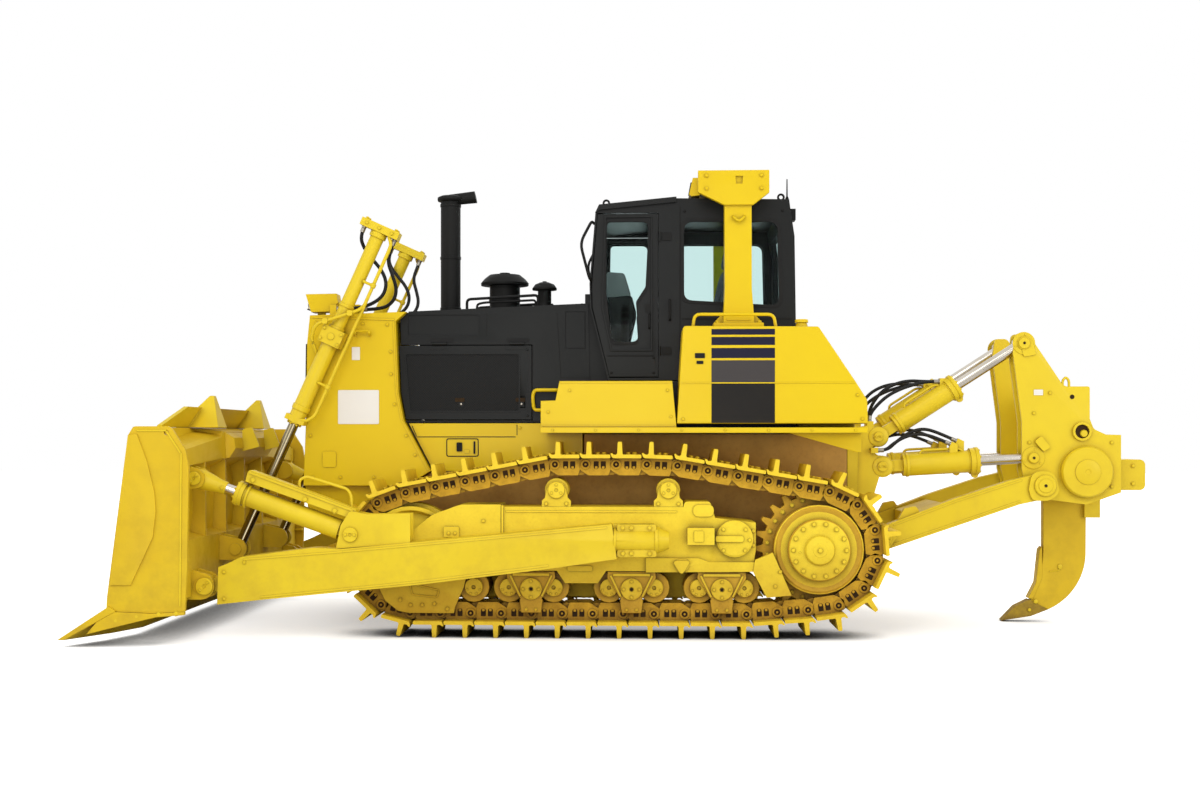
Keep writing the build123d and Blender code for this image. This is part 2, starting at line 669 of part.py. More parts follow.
def rear_bracket():
    """Casting on the rear case that carries the ripper, with its pin plates."""
    found = plate([(-1905, 690), (-1905, 1760), (-1985, 1790), (-2000, 1700), (-1980, 690)],
                  -590, 590)
    for low, high in ((RIPPER_Y - 100, RIPPER_Y - 60), (RIPPER_Y + 60, RIPPER_Y + 90)):
        side = plate([(-1905, 690), (-2080, 690), (-2110, 1000), (-2170, 1230), (-2200, 1330),
                      (-2200, 1520), (-2110, 1580), (-2150, 1607), (-2150, 1775),
                      (-2094, 1790), (-1905, 1760)], low, high)
        for part in pair(side + drum(RAISE_FOOT, 98, low, high) + drum(TILT_FOOT, 92, low, high)):
            found += part
    outer = plate([(-1905, 680), (-2230, 680), (-2320, 805), (-2230, 920), (-1905, 1000)],
                  RIPPER_ARM_OUT + 8, RIPPER_ARM_OUT + 48)
    web = block(-1980, -1955, 585, RIPPER_ARM_OUT + 48, 700, 990)
    for part in pair(outer - block(-1955, -1800, 600, 800, 600, 1100) + web):
        found += part
    for pin, radius in ((RAISE_FOOT, 45), (TILT_FOOT, 42)):
        for part in pair(drum(pin, radius, RIPPER_Y + 90, RIPPER_Y + 106)):
            found += part
    for port in (block(-2150, -2094, RIPPER_Y - 100, RIPPER_Y + 90, 1775, 1830),
                 block(-2180, -2120, RIPPER_Y + 85, RIPPER_Y + 160, 1545, 1595)):
        for part in pair(port):
            found += part
    return found


def lift_yoke():
    """Yoke round a lift cylinder, with the shaft that turns in the radiator guard, on the left."""
    above = between(LIFT_TRUNNION, LIFT_PIN, -95)
    below = between(LIFT_TRUNNION, LIFT_PIN, 95)
    lean = degrees(atan2(LIFT_PIN[0] - LIFT_TRUNNION[0], LIFT_TRUNNION[1] - LIFT_PIN[1]))
    collar = Pos(LIFT_TRUNNION[0], LIFT_Y, LIFT_TRUNNION[1]) * Rot(0, -lean, 0) * Box(200, 176, 150)
    shaft = disc(LIFT_TRUNNION, YOKE_SHAFT_R, GUARD_HALF - 60, LIFT_Y - 80)
    return collar + shaft - rod(above, below, LIFT_BARREL_R, LIFT_Y)


# ---------------------------------------------------------------- blade and push arms
def push_arm():
    """Push arm from its slanted trunnion box to the blade foot, on the left."""
    low, high = ARM_Y - ARM_HALF, ARM_Y + ARM_HALF
    beam = plate([(160, 974), (1293, 866), (2394, 764), (2636, 772), (3229, 695),
                  (3341, 641), (3420, 610), (3430, 300), (3070, 340), (1739, 473),
                  (667, 608), (120, 690)], low, high)
    cap = rod((150, 838), (-215, 838), 112, ARM_Y)
    cap += Pos(-262, ARM_Y, 838) * Rot(0, -90, 0) * Cone(112, 72, 94)
    for z in (838 + 118, 838 - 118):
        cap += block(-190, 150, ARM_Y - 60, ARM_Y + 60, z - 16, z + 16)
    eye = plate([(3400, 380), (3400, 560), BLADE_PIN + (0,)], ARM_Y - 60, ARM_Y + 60)
    eye += disc(BLADE_PIN, 90, ARM_Y - 60, ARM_Y + 60)
    ear = [(2440, 766), (2400, 960), (2325, 1078, 30), (2180, 1050), (1823, 1057), (1823, 812)]
    ears = plate(ear, ARM_Y - 95, ARM_Y - 75) + plate(ear, ARM_Y + 75, ARM_Y + 95)
    pocket = drum(TRUNNION, 90 + PIN_GAP, 0, ARM_Y + 45, 24)
    return beam + cap + eye + ears - pocket


FRONT_FACE = ((3940, BLADE_TOP), (3800, 1050), (4000, BLADE_FOOT))
WING_FACE = ((4010, BLADE_TOP), (3950, 1050), (4185, BLADE_FOOT))
SKIN = 55


def skin_section(face, y):
    """Hollow section of the moldboard skin at one Y, in six rolled flats."""
    top, middle, foot = (Vector(x, y, z) for x, z in face)
    sweep = ThreePointArc(foot, middle, top)
    front = [sweep @ (index / 6) for index in range(7)]
    back = [point + Vector(-SKIN, 0, 0) for point in reversed(front)]
    return make_face(Polyline(*front, *back, close=True))


def moldboard():
    """Curved skin with its wings and the box beams and ribs behind it."""
    skin = loft([skin_section(FRONT_FACE, -BLADE_BEND), skin_section(FRONT_FACE, BLADE_BEND)],
                ruled=True)
    wing = loft([skin_section(FRONT_FACE, BLADE_BEND),
                 skin_section(WING_FACE, BLADE_HALF - 40)], ruled=True)
    top_beam = plate([(3900, BLADE_TOP), (3640, BLADE_TOP - 30), (3630, 1500), (3780, 1420)],
                     -FIN_Y, FIN_Y)
    low_beam = plate([(3830, 900), (3640, 840), (3640, 370), (3960, BLADE_FOOT)],
                     -BLADE_HALF + 40, BLADE_HALF - 40)
    outer_beam = loft([beam_section(((3880, 1748), (3700, 1716), (3632, 1690), (3632, 1500),
                                     (3780, 1420)), FIN_Y),
                       beam_section(((3950, 1640), (3700, 1585), (3660, 1560), (3660, 1433),
                                     (3850, 1400)), BLADE_HALF - 40)], ruled=True)
    rear_box = plate([(3640, 1730), (3560, 1680), (3545, 1590), (3600, 1505), (3640, 1500)],
                     -FIN_Y + 120, FIN_Y - 120)
    board = skin + top_beam + low_beam + rear_box
    for part in pair(wing) + pair(outer_beam):
        board += part
    for y in (-1980, -1300, -650, 0, 650, 1300, 1980):
        board += plate([(3800, 1440), (3650, 1500), (3640, 840), (3820, 880)],
                       y - 20, y + 20)
    for part in pair(drum(BLADE_PIN, 124, ARM_Y - 68, ARM_Y + 68, 24)):
        board -= part
    for part in pair(blade_ears()):
        board += part
    return board


def beam_section(corners, y):
    """Section of a box beam at one Y."""
    return make_face(Polyline(*[Vector(x, y, z) for x, z in corners], close=True))


def blade_ears():
    """Ears for the push arm, the pitch cylinder and the lift cylinder, on the left."""
    found = None
    table = [  # pin, ear radius, inner Y, outer Y of the gap, ear thickness
        (BLADE_PIN, 112, ARM_Y - 68, ARM_Y + 68, 40),
        (BRACE_PIN, 85, ARM_Y - 62, ARM_Y + 62, 34),
        (LIFT_PIN, 95, LIFT_Y - 62, LIFT_Y + 62, 36),
    ]
    for pin, radius, inner, outer, thick in table:
        x, z = pin
        side = [(x, z + radius), (3760, z + radius + 60), (3760, z - radius), (x, z - radius)]
        for y0, y1 in ((inner - thick, inner), (outer, outer + thick)):
            ear = plate(side, y0, y1) + drum(pin, radius, y0, y1)
            found = ear if found is None else found + ear
        found += drum(pin, radius * 0.55, outer + thick, outer + thick + 14, 12)
    return found


def end_plate():
    """Plate that closes the end of a wing, with its raised front strip, on the left."""
    side = [(4035, 1700, 60), (3990, 1775, 40), (3690, 1775, 60), (3568, 1584), (3542, 1452),
            (3555, 618), (3572, 290), (3820, 274), (4211, 290), (4205, 403)]
    strip = [(4031, 1706), (3959, 1712), (3878, 1496), (3816, 1247), (3805, 1095), (3829, 886),
             (3905, 720), (4010, 501), (4106, 500), (4180, 500)]
    eye = Pos(BLADE_EYE[0], BLADE_HALF, BLADE_EYE[1]) * Rot(90, 0, 0) * Cylinder(22, 120)
    body = plate(side, BLADE_HALF - 38, BLADE_HALF) + plate(strip, BLADE_HALF, BLADE_HALF + 12)
    return body - end_bit() - eye


def edge_section(root, tip, y):
    """Section of the cutting edge at one Y: a thick plate from its root to its tip."""
    (x0, z0), (x1, z1) = root, tip
    points = [Vector(x, y, z) for x, z in
              ((x0, z0), (x1, z1), (x1 - 60, z1), (x0 - 60, z0 - 38))]
    return make_face(Polyline(*points, close=True))


def end_bit():
    """Wider bit at the end of the cutting edge, on the left."""
    return loft([edge_section((4110, 328), (4400, 56), 1745),
                 edge_section((4190, 328), (4610, 56), BLADE_HALF + 20)], ruled=True)


def cutting_edge():
    """Cutting edge along the foot of the moldboard, with the end bits and their side shoes."""
    centre = loft([edge_section((4000, 328), (4250, 56), y)
                   for y in (-BLADE_BEND, BLADE_BEND)], ruled=True)
    wing = loft([edge_section((4000, 328), (4250, 56), BLADE_BEND),
                 edge_section((4110, 328), (4390, 56), 1740)], ruled=True)
    for part in pair(wing):
        centre += part
    shoe = plate([(4372, 102), (4211, 288), (3822, 272), (3574, 288), (3574, 262), (3800, 244),
                  (4040, 186)], BLADE_HALF - 36, BLADE_HALF + 18) - end_bit()
    return [centre] + pair(end_bit()) + pair(shoe)


def spill_guard():
    """Leaning guard over the blade, sloping down at its ends, with its two tapered fins."""
    low, high = BLADE_TOP + 2, 1951
    def at(y, z, back=0):
        return Vector(3940 - (z - low) * 103 / 179 - back, y, z)
    front = [at(-1725, low), at(-1725, 1790), at(-1300, high), at(1300, high),
             at(1725, 1790), at(1725, low)]
    face = make_face(Polyline(*front, close=True))
    guard = extrude(face, amount=45, dir=(-1, 0, 0))
    fin = loft([Pos(3818, FIN_Y, low) * Rectangle(376, 300),
                Pos(3717, FIN_Y, 2055) * Rectangle(36, 70)], ruled=True)
    for part in pair(fin):
        guard += part
    return guard


# ---------------------------------------------------------------- cylinders
def barrel(foot, pin, y, radius, start, stop, eye_half):
    """Barrel along the line from foot to pin, with its gland and an eye on the foot."""
    body = rod(between(foot, pin, start), between(foot, pin, stop), radius, y)
    head = rod(between(foot, pin, stop - 70), between(foot, pin, stop), radius * 1.18, y)
    lean = degrees(atan2(pin[1] - foot[1], pin[0] - foot[0]))
    neck = Box(start + 5, 2 * eye_half, radius, align=(Align.MIN, Align.CENTER, Align.CENTER))
    neck = Pos(foot[0], y, foot[1]) * Rot(0, -lean, 0) * neck
    eye = disc(foot, radius * 0.85, y - eye_half, y + eye_half)
    return body + head + neck + eye


def pitch_barrel():
    """Barrel of a pitch cylinder under its pipe cover, on the left."""
    cover = plate([(3205, 1320), (3178, 1423, 30), (2284, 1093, 30), (2245, 985)],
                  ARM_Y - 55, ARM_Y + 70)
    body = barrel(BRACE_FOOT, BRACE_PIN, ARM_Y, 85, 110, 1030, 58)
    return bored(body + cover, BRACE_FOOT, BRACE_PIN, ARM_Y, 50, 420, 1100)


def ram(foot, pin, y, radius, start, eye_r, eye_half):
    """Rod from inside its barrel to its eye."""
    shaft = rod(between(foot, pin, start), pin, radius, y)
    return shaft + drum(pin, eye_r, y - eye_half, y + eye_half)


def ripper_barrels():
    """Barrels of the left ripper cylinders with their hose ports: lift, then tilt."""
    lift = barrel(RAISE_FOOT, RAISE_PIN, RIPPER_Y, 100, 190, 855, 55)
    lift += plate([(-2889, 1630.4), (-2911.4, 1677.4), (-2965, 1652), (-2965, 1530),
                   (-2889, 1530)],
                  RIPPER_Y - 36, RIPPER_Y + 8)
    lift += plate([(-2828.4, 1602.2), (-2850.2, 1649.4), (-2900, 1625), (-2900, 1530),
                   (-2828.4, 1530)],
                  RIPPER_Y + 6, RIPPER_Y + 46)
    tilt = barrel(TILT_FOOT, TILT_PIN, RIPPER_Y, 95, 190, 830, 55)
    tilt += plate([(-2745, 2214), (-2745, 2100), (-2800, 2130), (-2800, 2214)],
                  RIPPER_Y - 42, RIPPER_Y + 42)
    return bored(lift, RAISE_FOOT, RAISE_PIN, RIPPER_Y, 52, 210, 900), tilt


def bored(shape, foot, pin, y, radius, start, stop):
    """Barrel with the bore that its rod slides in."""
    return shape - rod(between(foot, pin, start), between(foot, pin, stop), radius, y)


def lift_barrel():
    """Barrel of a lift cylinder, held at its middle, with its head plate, on the left."""
    top = between(LIFT_TRUNNION, LIFT_PIN, -1015)
    foot = between(LIFT_TRUNNION, LIFT_PIN, 829)
    body = rod(top, foot, 62, LIFT_Y)
    body += rod(between(LIFT_TRUNNION, LIFT_PIN, -100), foot, LIFT_BARREL_R, LIFT_Y)
    lean = degrees(atan2(LIFT_PIN[0] - LIFT_TRUNNION[0], LIFT_TRUNNION[1] - LIFT_PIN[1]))
    x, z = between(LIFT_TRUNNION, LIFT_PIN, -1045)
    body += Pos(x, LIFT_Y, z) * Rot(0, -lean, 0) * Box(360, 150, 70)
    x, z = between(LIFT_TRUNNION, LIFT_PIN, 800)
    body += Pos(x, LIFT_Y, z) * Rot(0, -lean, 0) * Box(180, 130, 50)
    return bored(body, top, foot, LIFT_Y, 48, 100, 1900)


def lift_ram():
    """Rod of a lift cylinder, on the left."""
    start = between(LIFT_TRUNNION, LIFT_PIN, 330)
    shaft = rod(start, LIFT_PIN, 45, LIFT_Y)
    return shaft + drum(LIFT_PIN, 75, LIFT_Y - 55, LIFT_Y + 55)


# ---------------------------------------------------------------- ripper
def ripper_arm():
    """Lower arm of the ripper, on the left."""
    side = [(-2200, 900), (-2833, 1147), (-3322, 1310), (-3590, 1370), (-3640, 1150),
            (-3400, 1098), (-2833, 903), (-2250, 700)]
    arm = plate(side, RIPPER_ARM_IN, RIPPER_ARM_OUT)
    arm += disc(ARM_FOOT, 115, RIPPER_ARM_IN, RIPPER_ARM_OUT)
    return arm + drum(ARM_PIN, 118, RIPPER_ARM_IN, RIPPER_ARM_OUT)


def ripper_cross_tube():
    """Box tube that joins the two ripper arms."""
    return plate([(-2500, 860), (-2800, 960), (-2800, 1100), (-2500, 1000)],
                 -RIPPER_ARM_IN, RIPPER_ARM_IN)


def ripper_pins():
    """Pins between the ripper arms and the ripper frame."""
    return disc(ARM_PIN, 55, RIPPER_ARM_OUT + 1, RIPPER_ARM_OUT + 40)


FRAME_SIDE = [(-3400, 2610, 40), (-3510, 2610, 50), (-3815, 2150), (-3850, 2138),
              (-4050, 2138, 20), (-4050, 1850), (-4085, 1760, 60), (-4190, 1712), (-4323, 1708),
              (-4323, 1198), (-4022, 1090), (-3640, 1140, 60), (-3490, 1250, 60),
              (-3455, 1400), (-3455, 1822), (-3377, 2437)]
def ripper_frame():
    """Upright frame with four side plates, the shank pocket and the push block."""
    frame = None
    for low, high in ((RIPPER_Y - 96, RIPPER_Y - 60), (RIPPER_Y + 60, RIPPER_Y + 88)):
        for part in pair(plate(FRAME_SIDE, low, high) - drum(SLOT_CENTRE, 62, low, high)):
            frame = part if frame is None else frame + part
    core = plate([(-3660, 1150), (-3660, 1700), (-3740, 2100), (-3800, 2100), (-4030, 2060),
                  (-4040, 1840), (-4090, 1740), (-4300, 1690), (-4300, 1210), (-4022, 1110)],
                 -RIPPER_Y + 70, RIPPER_Y - 70)
    core += plate([(-3860, 1160), (-3860, 1640), (-4090, 1660), (-4300, 1690), (-4300, 1210),
                   (-4022, 1110)], -RIPPER_Y - 70, RIPPER_Y + 70)
    core += block(-4245, -4192, -70, 70, 985, 1250)
    pocket = block(-4190, -3720, -52, 52, 900, 2300)
    push = plate([(-4295, 1230), (-4295, 1470), (-4400, 1487), (-4610, 1487, 50),
                  (-4610, 1211, 50), (-4400, 1211)], -250, 250)
    boss = turned([(226, RIPPER_Y + 80), (226, RIPPER_Y + 134), (212, RIPPER_Y + 150)],
                  (-4016, 1379))
    rim = drum(SLOT_CENTRE, 84, RIPPER_Y + 86, RIPPER_Y + 112) - drum(
        SLOT_CENTRE, 62, RIPPER_Y + 60, RIPPER_Y + 120)
    frame = frame + core - pocket + push
    for part in pair(boss) + pair(rim):
        frame += part
    for pin, radius in ((TILT_PIN, 60), (RAISE_PIN, 52)):
        for part in pair(drum(pin, radius, RIPPER_Y + 86, RIPPER_Y + 104)):
            frame += part
    return frame


def shank():
    """Ripper shank, curved forward at its foot, with its front protector."""
    front, back = -3757, -4148
    edges = Curve() + [
        Line((front, 0, 1900), (back, 0, 1900)), Line((back, 0, 1900), (-4142, 0, 640)),
        ThreePointArc((-4142, 0, 640), (-4058, 0, 335), (-3800, 0, 110)),
        Line((-3800, 0, 110), (-3640, 0, 190)),
        ThreePointArc((-3640, 0, 190), (-3728, 0, 430), (front, 0, 700)),
        Line((front, 0, 700), (front, 0, 1900))]
    blade = extrude(make_face(edges), amount=45, dir=(0, 1, 0), both=True)
    guard = plate([(-3745, 690), (-3722, 660), (-3690, 360), (-3618, 215), (-3660, 205),
                   (-3745, 400)], -58, 58)
    return blade + (guard - plate([(-3638, 192), (-3798, 112), (-3640, 50), (-3377, 8),
                                   (-3500, 140)], -60, 60))


def shank_tip():
    """Replaceable point of the shank."""
    tip = plate([(-3628, 204), (-3798, 112), (-3640, 50), (-3377, 8), (-3500, 140)], -56, 56)
    return tip - shank()


# ---------------------------------------------------------------- hoses
# A route is a list of (x, y, z) points on the left; the right side is its mirror image.
LIFT_ROUTES = [
    [(2371, 770, 3557), (2410, 770, 3470), (2385, 715, 3370), (2310, 695, 3270),
     (2225, 690, 3170), (2185, 690, 3060), (2215, 685, 2950), (2320, 675, 2875),
     (2470, 655, 2835), (2640, 655, 2835)],
    [(2098, 790, 3433), (2137, 790, 3347), (2165, 765, 3240), (2125, 725, 3120),
     (2095, 680, 3000), (2135, 640, 2895), (2250, 590, 2835), (2430, 590, 2835)],
]
TILT_ROUTES = [                    # from the bracket's top to the tilt cylinder
    [(-2122, 362, 1830), (-2122, 362, 1900), (-2165, 370, 2005), (-2240, 378, 2100),
     (-2350, 382, 2165), (-2480, 382, 2196), (-2620, 382, 2186), (-2745, 382, 2186)],
    [(-2122, 422, 1830), (-2122, 422, 1885), (-2190, 420, 1975), (-2285, 418, 2060),
     (-2400, 418, 2120), (-2520, 418, 2160), (-2630, 418, 2186), (-2745, 418, 2186)],
]
RAISE_ROUTES = [                   # from the bracket's side to the ripper's lift cylinder
    [(-2180, 506, 1570), (-2265, 506, 1570), (-2340, 506, 1640), (-2450, 500, 1725),
     (-2590, 440, 1768), (-2740, 386, 1730), (-2900, 386, 1654)],
    [(-2180, 540, 1570), (-2250, 540, 1570), (-2310, 540, 1625), (-2410, 536, 1690),
     (-2550, 490, 1722), (-2700, 426, 1690), (-2839, 426, 1626)],
]


def hose(points, radius):
    """Tube of straight runs joined by arcs as large as the runs allow."""
    path = [Vector(*point) for point in points]
    radii = []
    for before, point, after in zip(path, path[1:], path[2:]):
        turn = radians((point - before).get_angle(after - point))
        run = min((point - before).length, (after - point).length)
        radii.append(0.45 * run / tan(turn / 2))
    print("hose", radius, "radii", [round(value) for value in radii])
    line = FilletPolyline(*path, radius=radii)
    section = Plane(origin=path[0], z_dir=path[1] - path[0]) * RegularPolygon(radius, 6)
    return sweep(section, path=line)


# ---------------------------------------------------------------- all nodes
def build():
    """Make every node and write it."""
    os.makedirs("parts", exist_ok=True)
    brace = (BRACE_FOOT, BRACE_PIN, ARM_Y)
    lift = (RAISE_FOOT, RAISE_PIN, RIPPER_Y)
    tilt = (TILT_FOOT, TILT_PIN, RIPPER_Y)
    barrels = ripper_barrels()
    both = {
        "sprockets": [sprocket()], "final_drives": final_drive(), "idlers": [idler()],
        "track_rollers": rollers(), "carrier_rollers": carriers(),
        "side_panels": [side_panel()], "lift_yokes": [lift_yoke()],
        "lift_cylinder_barrels": [lift_barrel()], "lift_cylinder_rods": [lift_ram()],
        "pitch_cylinder_barrels": [pitch_barrel()],
        "pitch_cylinder_rods": [ram(*brace, 45, 640, 72, 55)],
        "ripper_lift_barrels": [barrels[0]],
        "ripper_lift_rods": [ram(*lift, 46, 478, 80, 55)],
        "ripper_tilt_barrels": [barrels[1]],
        "ripper_tilt_rods": [ram(*tilt, 46, 830, 80, 55)],
        "ripper_pins": [ripper_pins()], "ripper_arms": [ripper_arm()],
        "blade_end_plates": [end_plate()],
        "lift_hoses": [hose(route, 16) for route in LIFT_ROUTES],
        "ripper_hoses": [hose(route, 15) for route in RAISE_ROUTES + TILT_ROUTES],
    }
    for name, parts in both.items():
        save(name, *[copy for part in parts for copy in pair(part)])
    sided = {
        "track_frame": track_frame(), "fender": fender(), "side_tank": side_tank(),
        "engine_door": engine_door(), "cab_door": cab_door(), "door_glass": door_glass(),
        "push_arm": push_arm(), "rollover_post": rollover_post(),
    }
    for name, part in sided.items():
        left, right = pair(part)
        save(f"{name}_left", left)
        save(f"{name}_right", right)
    save("track_left", track(1))
    save("track_right", track(-1))
    single = {
        "main_frame": [hull()], "radiator_guard": [radiator_guard()],
        "radiator_grille": [grille()], "engine": [engine()], "hood": [hood()],
        "exhaust_stack": [exhaust()], "air_cleaners": air_cleaners(),
        "cab_shell": [cab_shell()], "cab_glass": cab_glass(), "operator_seat": [seat()],
        "cab_consoles": console(), "cab_deck": [cab_floor()],
        "rollover_beam": [rollover_beam()], "rear_fuel_tank": [rear_tank()],
        "rear_bracket": [rear_bracket()], "moldboard": [moldboard()],
        "cutting_edge": cutting_edge(), "spill_guard": [spill_guard()],
        "ripper_cross_tube": [ripper_cross_tube()], "ripper_frame": [ripper_frame()],
        "ripper_shank": [shank()], "shank_tip": [shank_tip()],
    }
    for name, parts in single.items():
        save(name, *parts)


build()
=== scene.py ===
"""Paint, fittings, track links, hoses and trim of a crawler bulldozer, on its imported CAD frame.

Lengths are metres. +X points forward to the blade, +Y to the machine's left, +Z up.
A sub-assembly is a class: its sizes are fields, and its methods make forms as whole numpy
arrays. place() makes a piece of a form, soften() of a CAD node, and dress() gives a CAD
node its finish only.
"""

import json
import logging
import math
from collections.abc import Iterable, Sequence
from dataclasses import dataclass, field
from enum import Enum

import bmesh
import bpy
import numpy as np
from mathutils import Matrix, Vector

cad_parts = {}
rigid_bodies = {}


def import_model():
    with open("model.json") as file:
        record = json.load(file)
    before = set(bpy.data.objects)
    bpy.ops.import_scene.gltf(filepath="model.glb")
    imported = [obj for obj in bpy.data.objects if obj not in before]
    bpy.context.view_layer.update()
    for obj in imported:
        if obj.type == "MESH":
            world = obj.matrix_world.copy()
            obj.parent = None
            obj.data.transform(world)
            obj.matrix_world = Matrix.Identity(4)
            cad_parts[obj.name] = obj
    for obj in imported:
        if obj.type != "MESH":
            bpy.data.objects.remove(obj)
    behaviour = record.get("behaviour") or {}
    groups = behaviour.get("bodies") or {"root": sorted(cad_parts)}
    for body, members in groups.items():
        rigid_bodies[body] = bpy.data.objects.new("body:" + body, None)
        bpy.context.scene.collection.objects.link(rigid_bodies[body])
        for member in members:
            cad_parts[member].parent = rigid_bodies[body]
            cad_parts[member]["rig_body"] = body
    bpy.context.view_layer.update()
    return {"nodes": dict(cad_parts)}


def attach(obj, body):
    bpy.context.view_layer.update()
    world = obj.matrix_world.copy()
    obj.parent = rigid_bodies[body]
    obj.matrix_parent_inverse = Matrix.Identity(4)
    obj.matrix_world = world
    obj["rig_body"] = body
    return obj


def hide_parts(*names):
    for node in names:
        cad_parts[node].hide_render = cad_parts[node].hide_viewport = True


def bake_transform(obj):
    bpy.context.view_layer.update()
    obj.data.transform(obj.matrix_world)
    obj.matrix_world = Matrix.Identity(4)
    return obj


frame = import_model()
LOG = logging.getLogger("bulldozer")

Point = tuple[float, float, float]    # x, y, z
Spot = tuple[float, float]            # x, z on a side plane
Corner = tuple[float, float, float]   # x, z and the radius that rounds the corner
Colour = tuple[float, float, float]   # red, green, blue as a display shows them
ACROSS: Point = (0, 1, 0)
UP: Point = (0, 0, 1)
SIDES = ((1.0, "left"), (-1.0, "right"))


# ---- colours and finishes
def linear(colour: Colour) -> tuple[float, float, float, float]:
    """Turn a display colour into scene-linear light: x / 12.92 below 0.04, else a 2.4 power.

    Args:
        colour: red, green and blue from 0 to 1 as a display shows them.

    Returns:
        The same colour in linear light, with alpha 1.
    """
    parts = [c / 12.92 if c <= 0.04045 else ((c + 0.055) / 1.055) ** 2.4 for c in colour]
    return (parts[0], parts[1], parts[2], 1.0)


class Net:
    """Small helper that adds and links the nodes of one node tree."""

    def __init__(self, tree: bpy.types.NodeTree) -> None:
        """Work on a tree, with whatever it holds."""
        self.nodes, self.links = tree.nodes, tree.links

    def fill(self, socket: bpy.types.NodeSocket, value: object) -> None:
        """Link a socket to another one, or give it a plain value."""
        if isinstance(value, bpy.types.NodeSocket):
            self.links.new(value, socket)
        else:
            socket.default_value = value

    def add(self, kind: str, inputs: dict[str | int, object] | None = None,
            **settings: object) -> bpy.types.Node:
        """Add a node, set its properties, and fill or link its inputs.

        Args:
            kind: the node's type name.
            inputs: a value or an output socket for each input, by name or number.
            settings: the node's own properties.

        Returns:
            The new node.
        """
        node = self.nodes.new(kind)
        for key, value in settings.items():
            setattr(node, key, value)
        for key, value in (inputs or {}).items():
            self.fill(node.inputs[key], value)
        return node

    def compute(self, operation: str, *values: object,
                clamp: bool = False) -> bpy.types.NodeSocket:
        """Result of one arithmetic node on its values, held from 0 to 1 if asked."""
        return self.add("ShaderNodeMath", dict(enumerate(values)), operation=operation,
                        use_clamp=clamp).outputs[0]

    def span(self, value: bpy.types.NodeSocket, low: float, high: float,
             to_low: float, to_high: float) -> bpy.types.NodeSocket:
        """Map a value from one range to another, clamped."""
        node = self.add("ShaderNodeMapRange", {
            "Value": value, "From Min": low, "From Max": high, "To Min": to_low,
            "To Max": to_high})
        return node.outputs[0]

    def mix(self, share: bpy.types.NodeSocket, first: object,
            second: object) -> bpy.types.NodeSocket:
        """Blend two colours by a share from 0 to 1."""
        return self.add("ShaderNodeMix", {0: share, 6: first, 7: second},
                        data_type="RGBA").outputs[2]


class Graph(Net):
    """Nodes of one object material round its main shader."""

    def __init__(self, name: str) -> None:
        """Start an empty material with its output and main shader."""
        self.material = bpy.data.materials.new(name)
        self.material.use_nodes = True
        super().__init__(self.material.node_tree)
        self.shader = next(n for n in self.nodes if n.type == "BSDF_PRINCIPLED")
        self.coordinates = self.add("ShaderNodeTexCoord").outputs["Object"]

    def along(self, axis: int) -> bpy.types.NodeSocket:
        """Object-space coordinate on one axis."""
        return self.add("ShaderNodeSeparateXYZ", {"Vector": self.coordinates}).outputs[axis]

    def noise(self, scale: float, detail: float = 3.0, roughness: float = 0.55,
              stretch: Point = (1.0, 1.0, 1.0)) -> bpy.types.NodeSocket:
        """Noise in object space, with features about 1 / scale metres across."""
        vector = self.add("ShaderNodeMapping", {"Vector": self.coordinates, "Scale": stretch})
        node = self.add("ShaderNodeTexNoise", {
            "Vector": vector.outputs[0], "Scale": scale, "Detail": detail, "Roughness": roughness})
        return node.outputs[0]

    def bump(self, height: bpy.types.NodeSocket, depth: float, strength: float = 1.0) -> None:
        """Raise the surface by a height signal, depth metres from low to high."""
        node = self.add("ShaderNodeBump", {
            "Height": height, "Distance": depth, "Strength": strength})
        self.set(Normal=node.outputs[0])

    def shade_corners(self, colour: object, painted_shade: Colour, reach: float,
                share: float) -> bpy.types.NodeSocket:
        """Paint shade into corners: an ambient occlusion node darkens the colour, and share falls
        to 0 where nothing is within reach of the surface.

        Args:
            colour: the clean colour or its socket.
            painted_shade: display colour of the shade painted into the corners.
            reach: how far a neighbouring surface counts, in metres.
            share: most of the painted shade's colour in the deepest corner.

        Returns:
            The colour socket.
        """
        # Painted shade: ambient occlusion darkens the colour where another surface is near.
        open_sky = self.add("ShaderNodeAmbientOcclusion", {"Distance": reach}, samples=5)
        corner = self.span(open_sky.outputs[1], 0.3, 0.93, share, 0.0)
        return self.mix(corner, colour, linear(painted_shade))

    def set(self, **values: object) -> None:
        """Set or link inputs of the main shader; underscores stand for spaces."""
        for key, value in values.items():
            self.fill(self.shader.inputs[key.replace("_", " ")], value)


@dataclass(frozen=True)
class Finish:
    """A named finish of a surface."""

    name: str

    def material(self) -> bpy.types.Material:
        """The finish's material, built when it is first asked for."""
        found = bpy.data.materials.get(self.name)
        if found:
            return found
        graph = Graph(self.name)
        self.paint(graph)
        return graph.material

    def paint(self, g: Graph) -> None:
        """Lay the finish's nodes on a fresh graph."""
        raise NotImplementedError


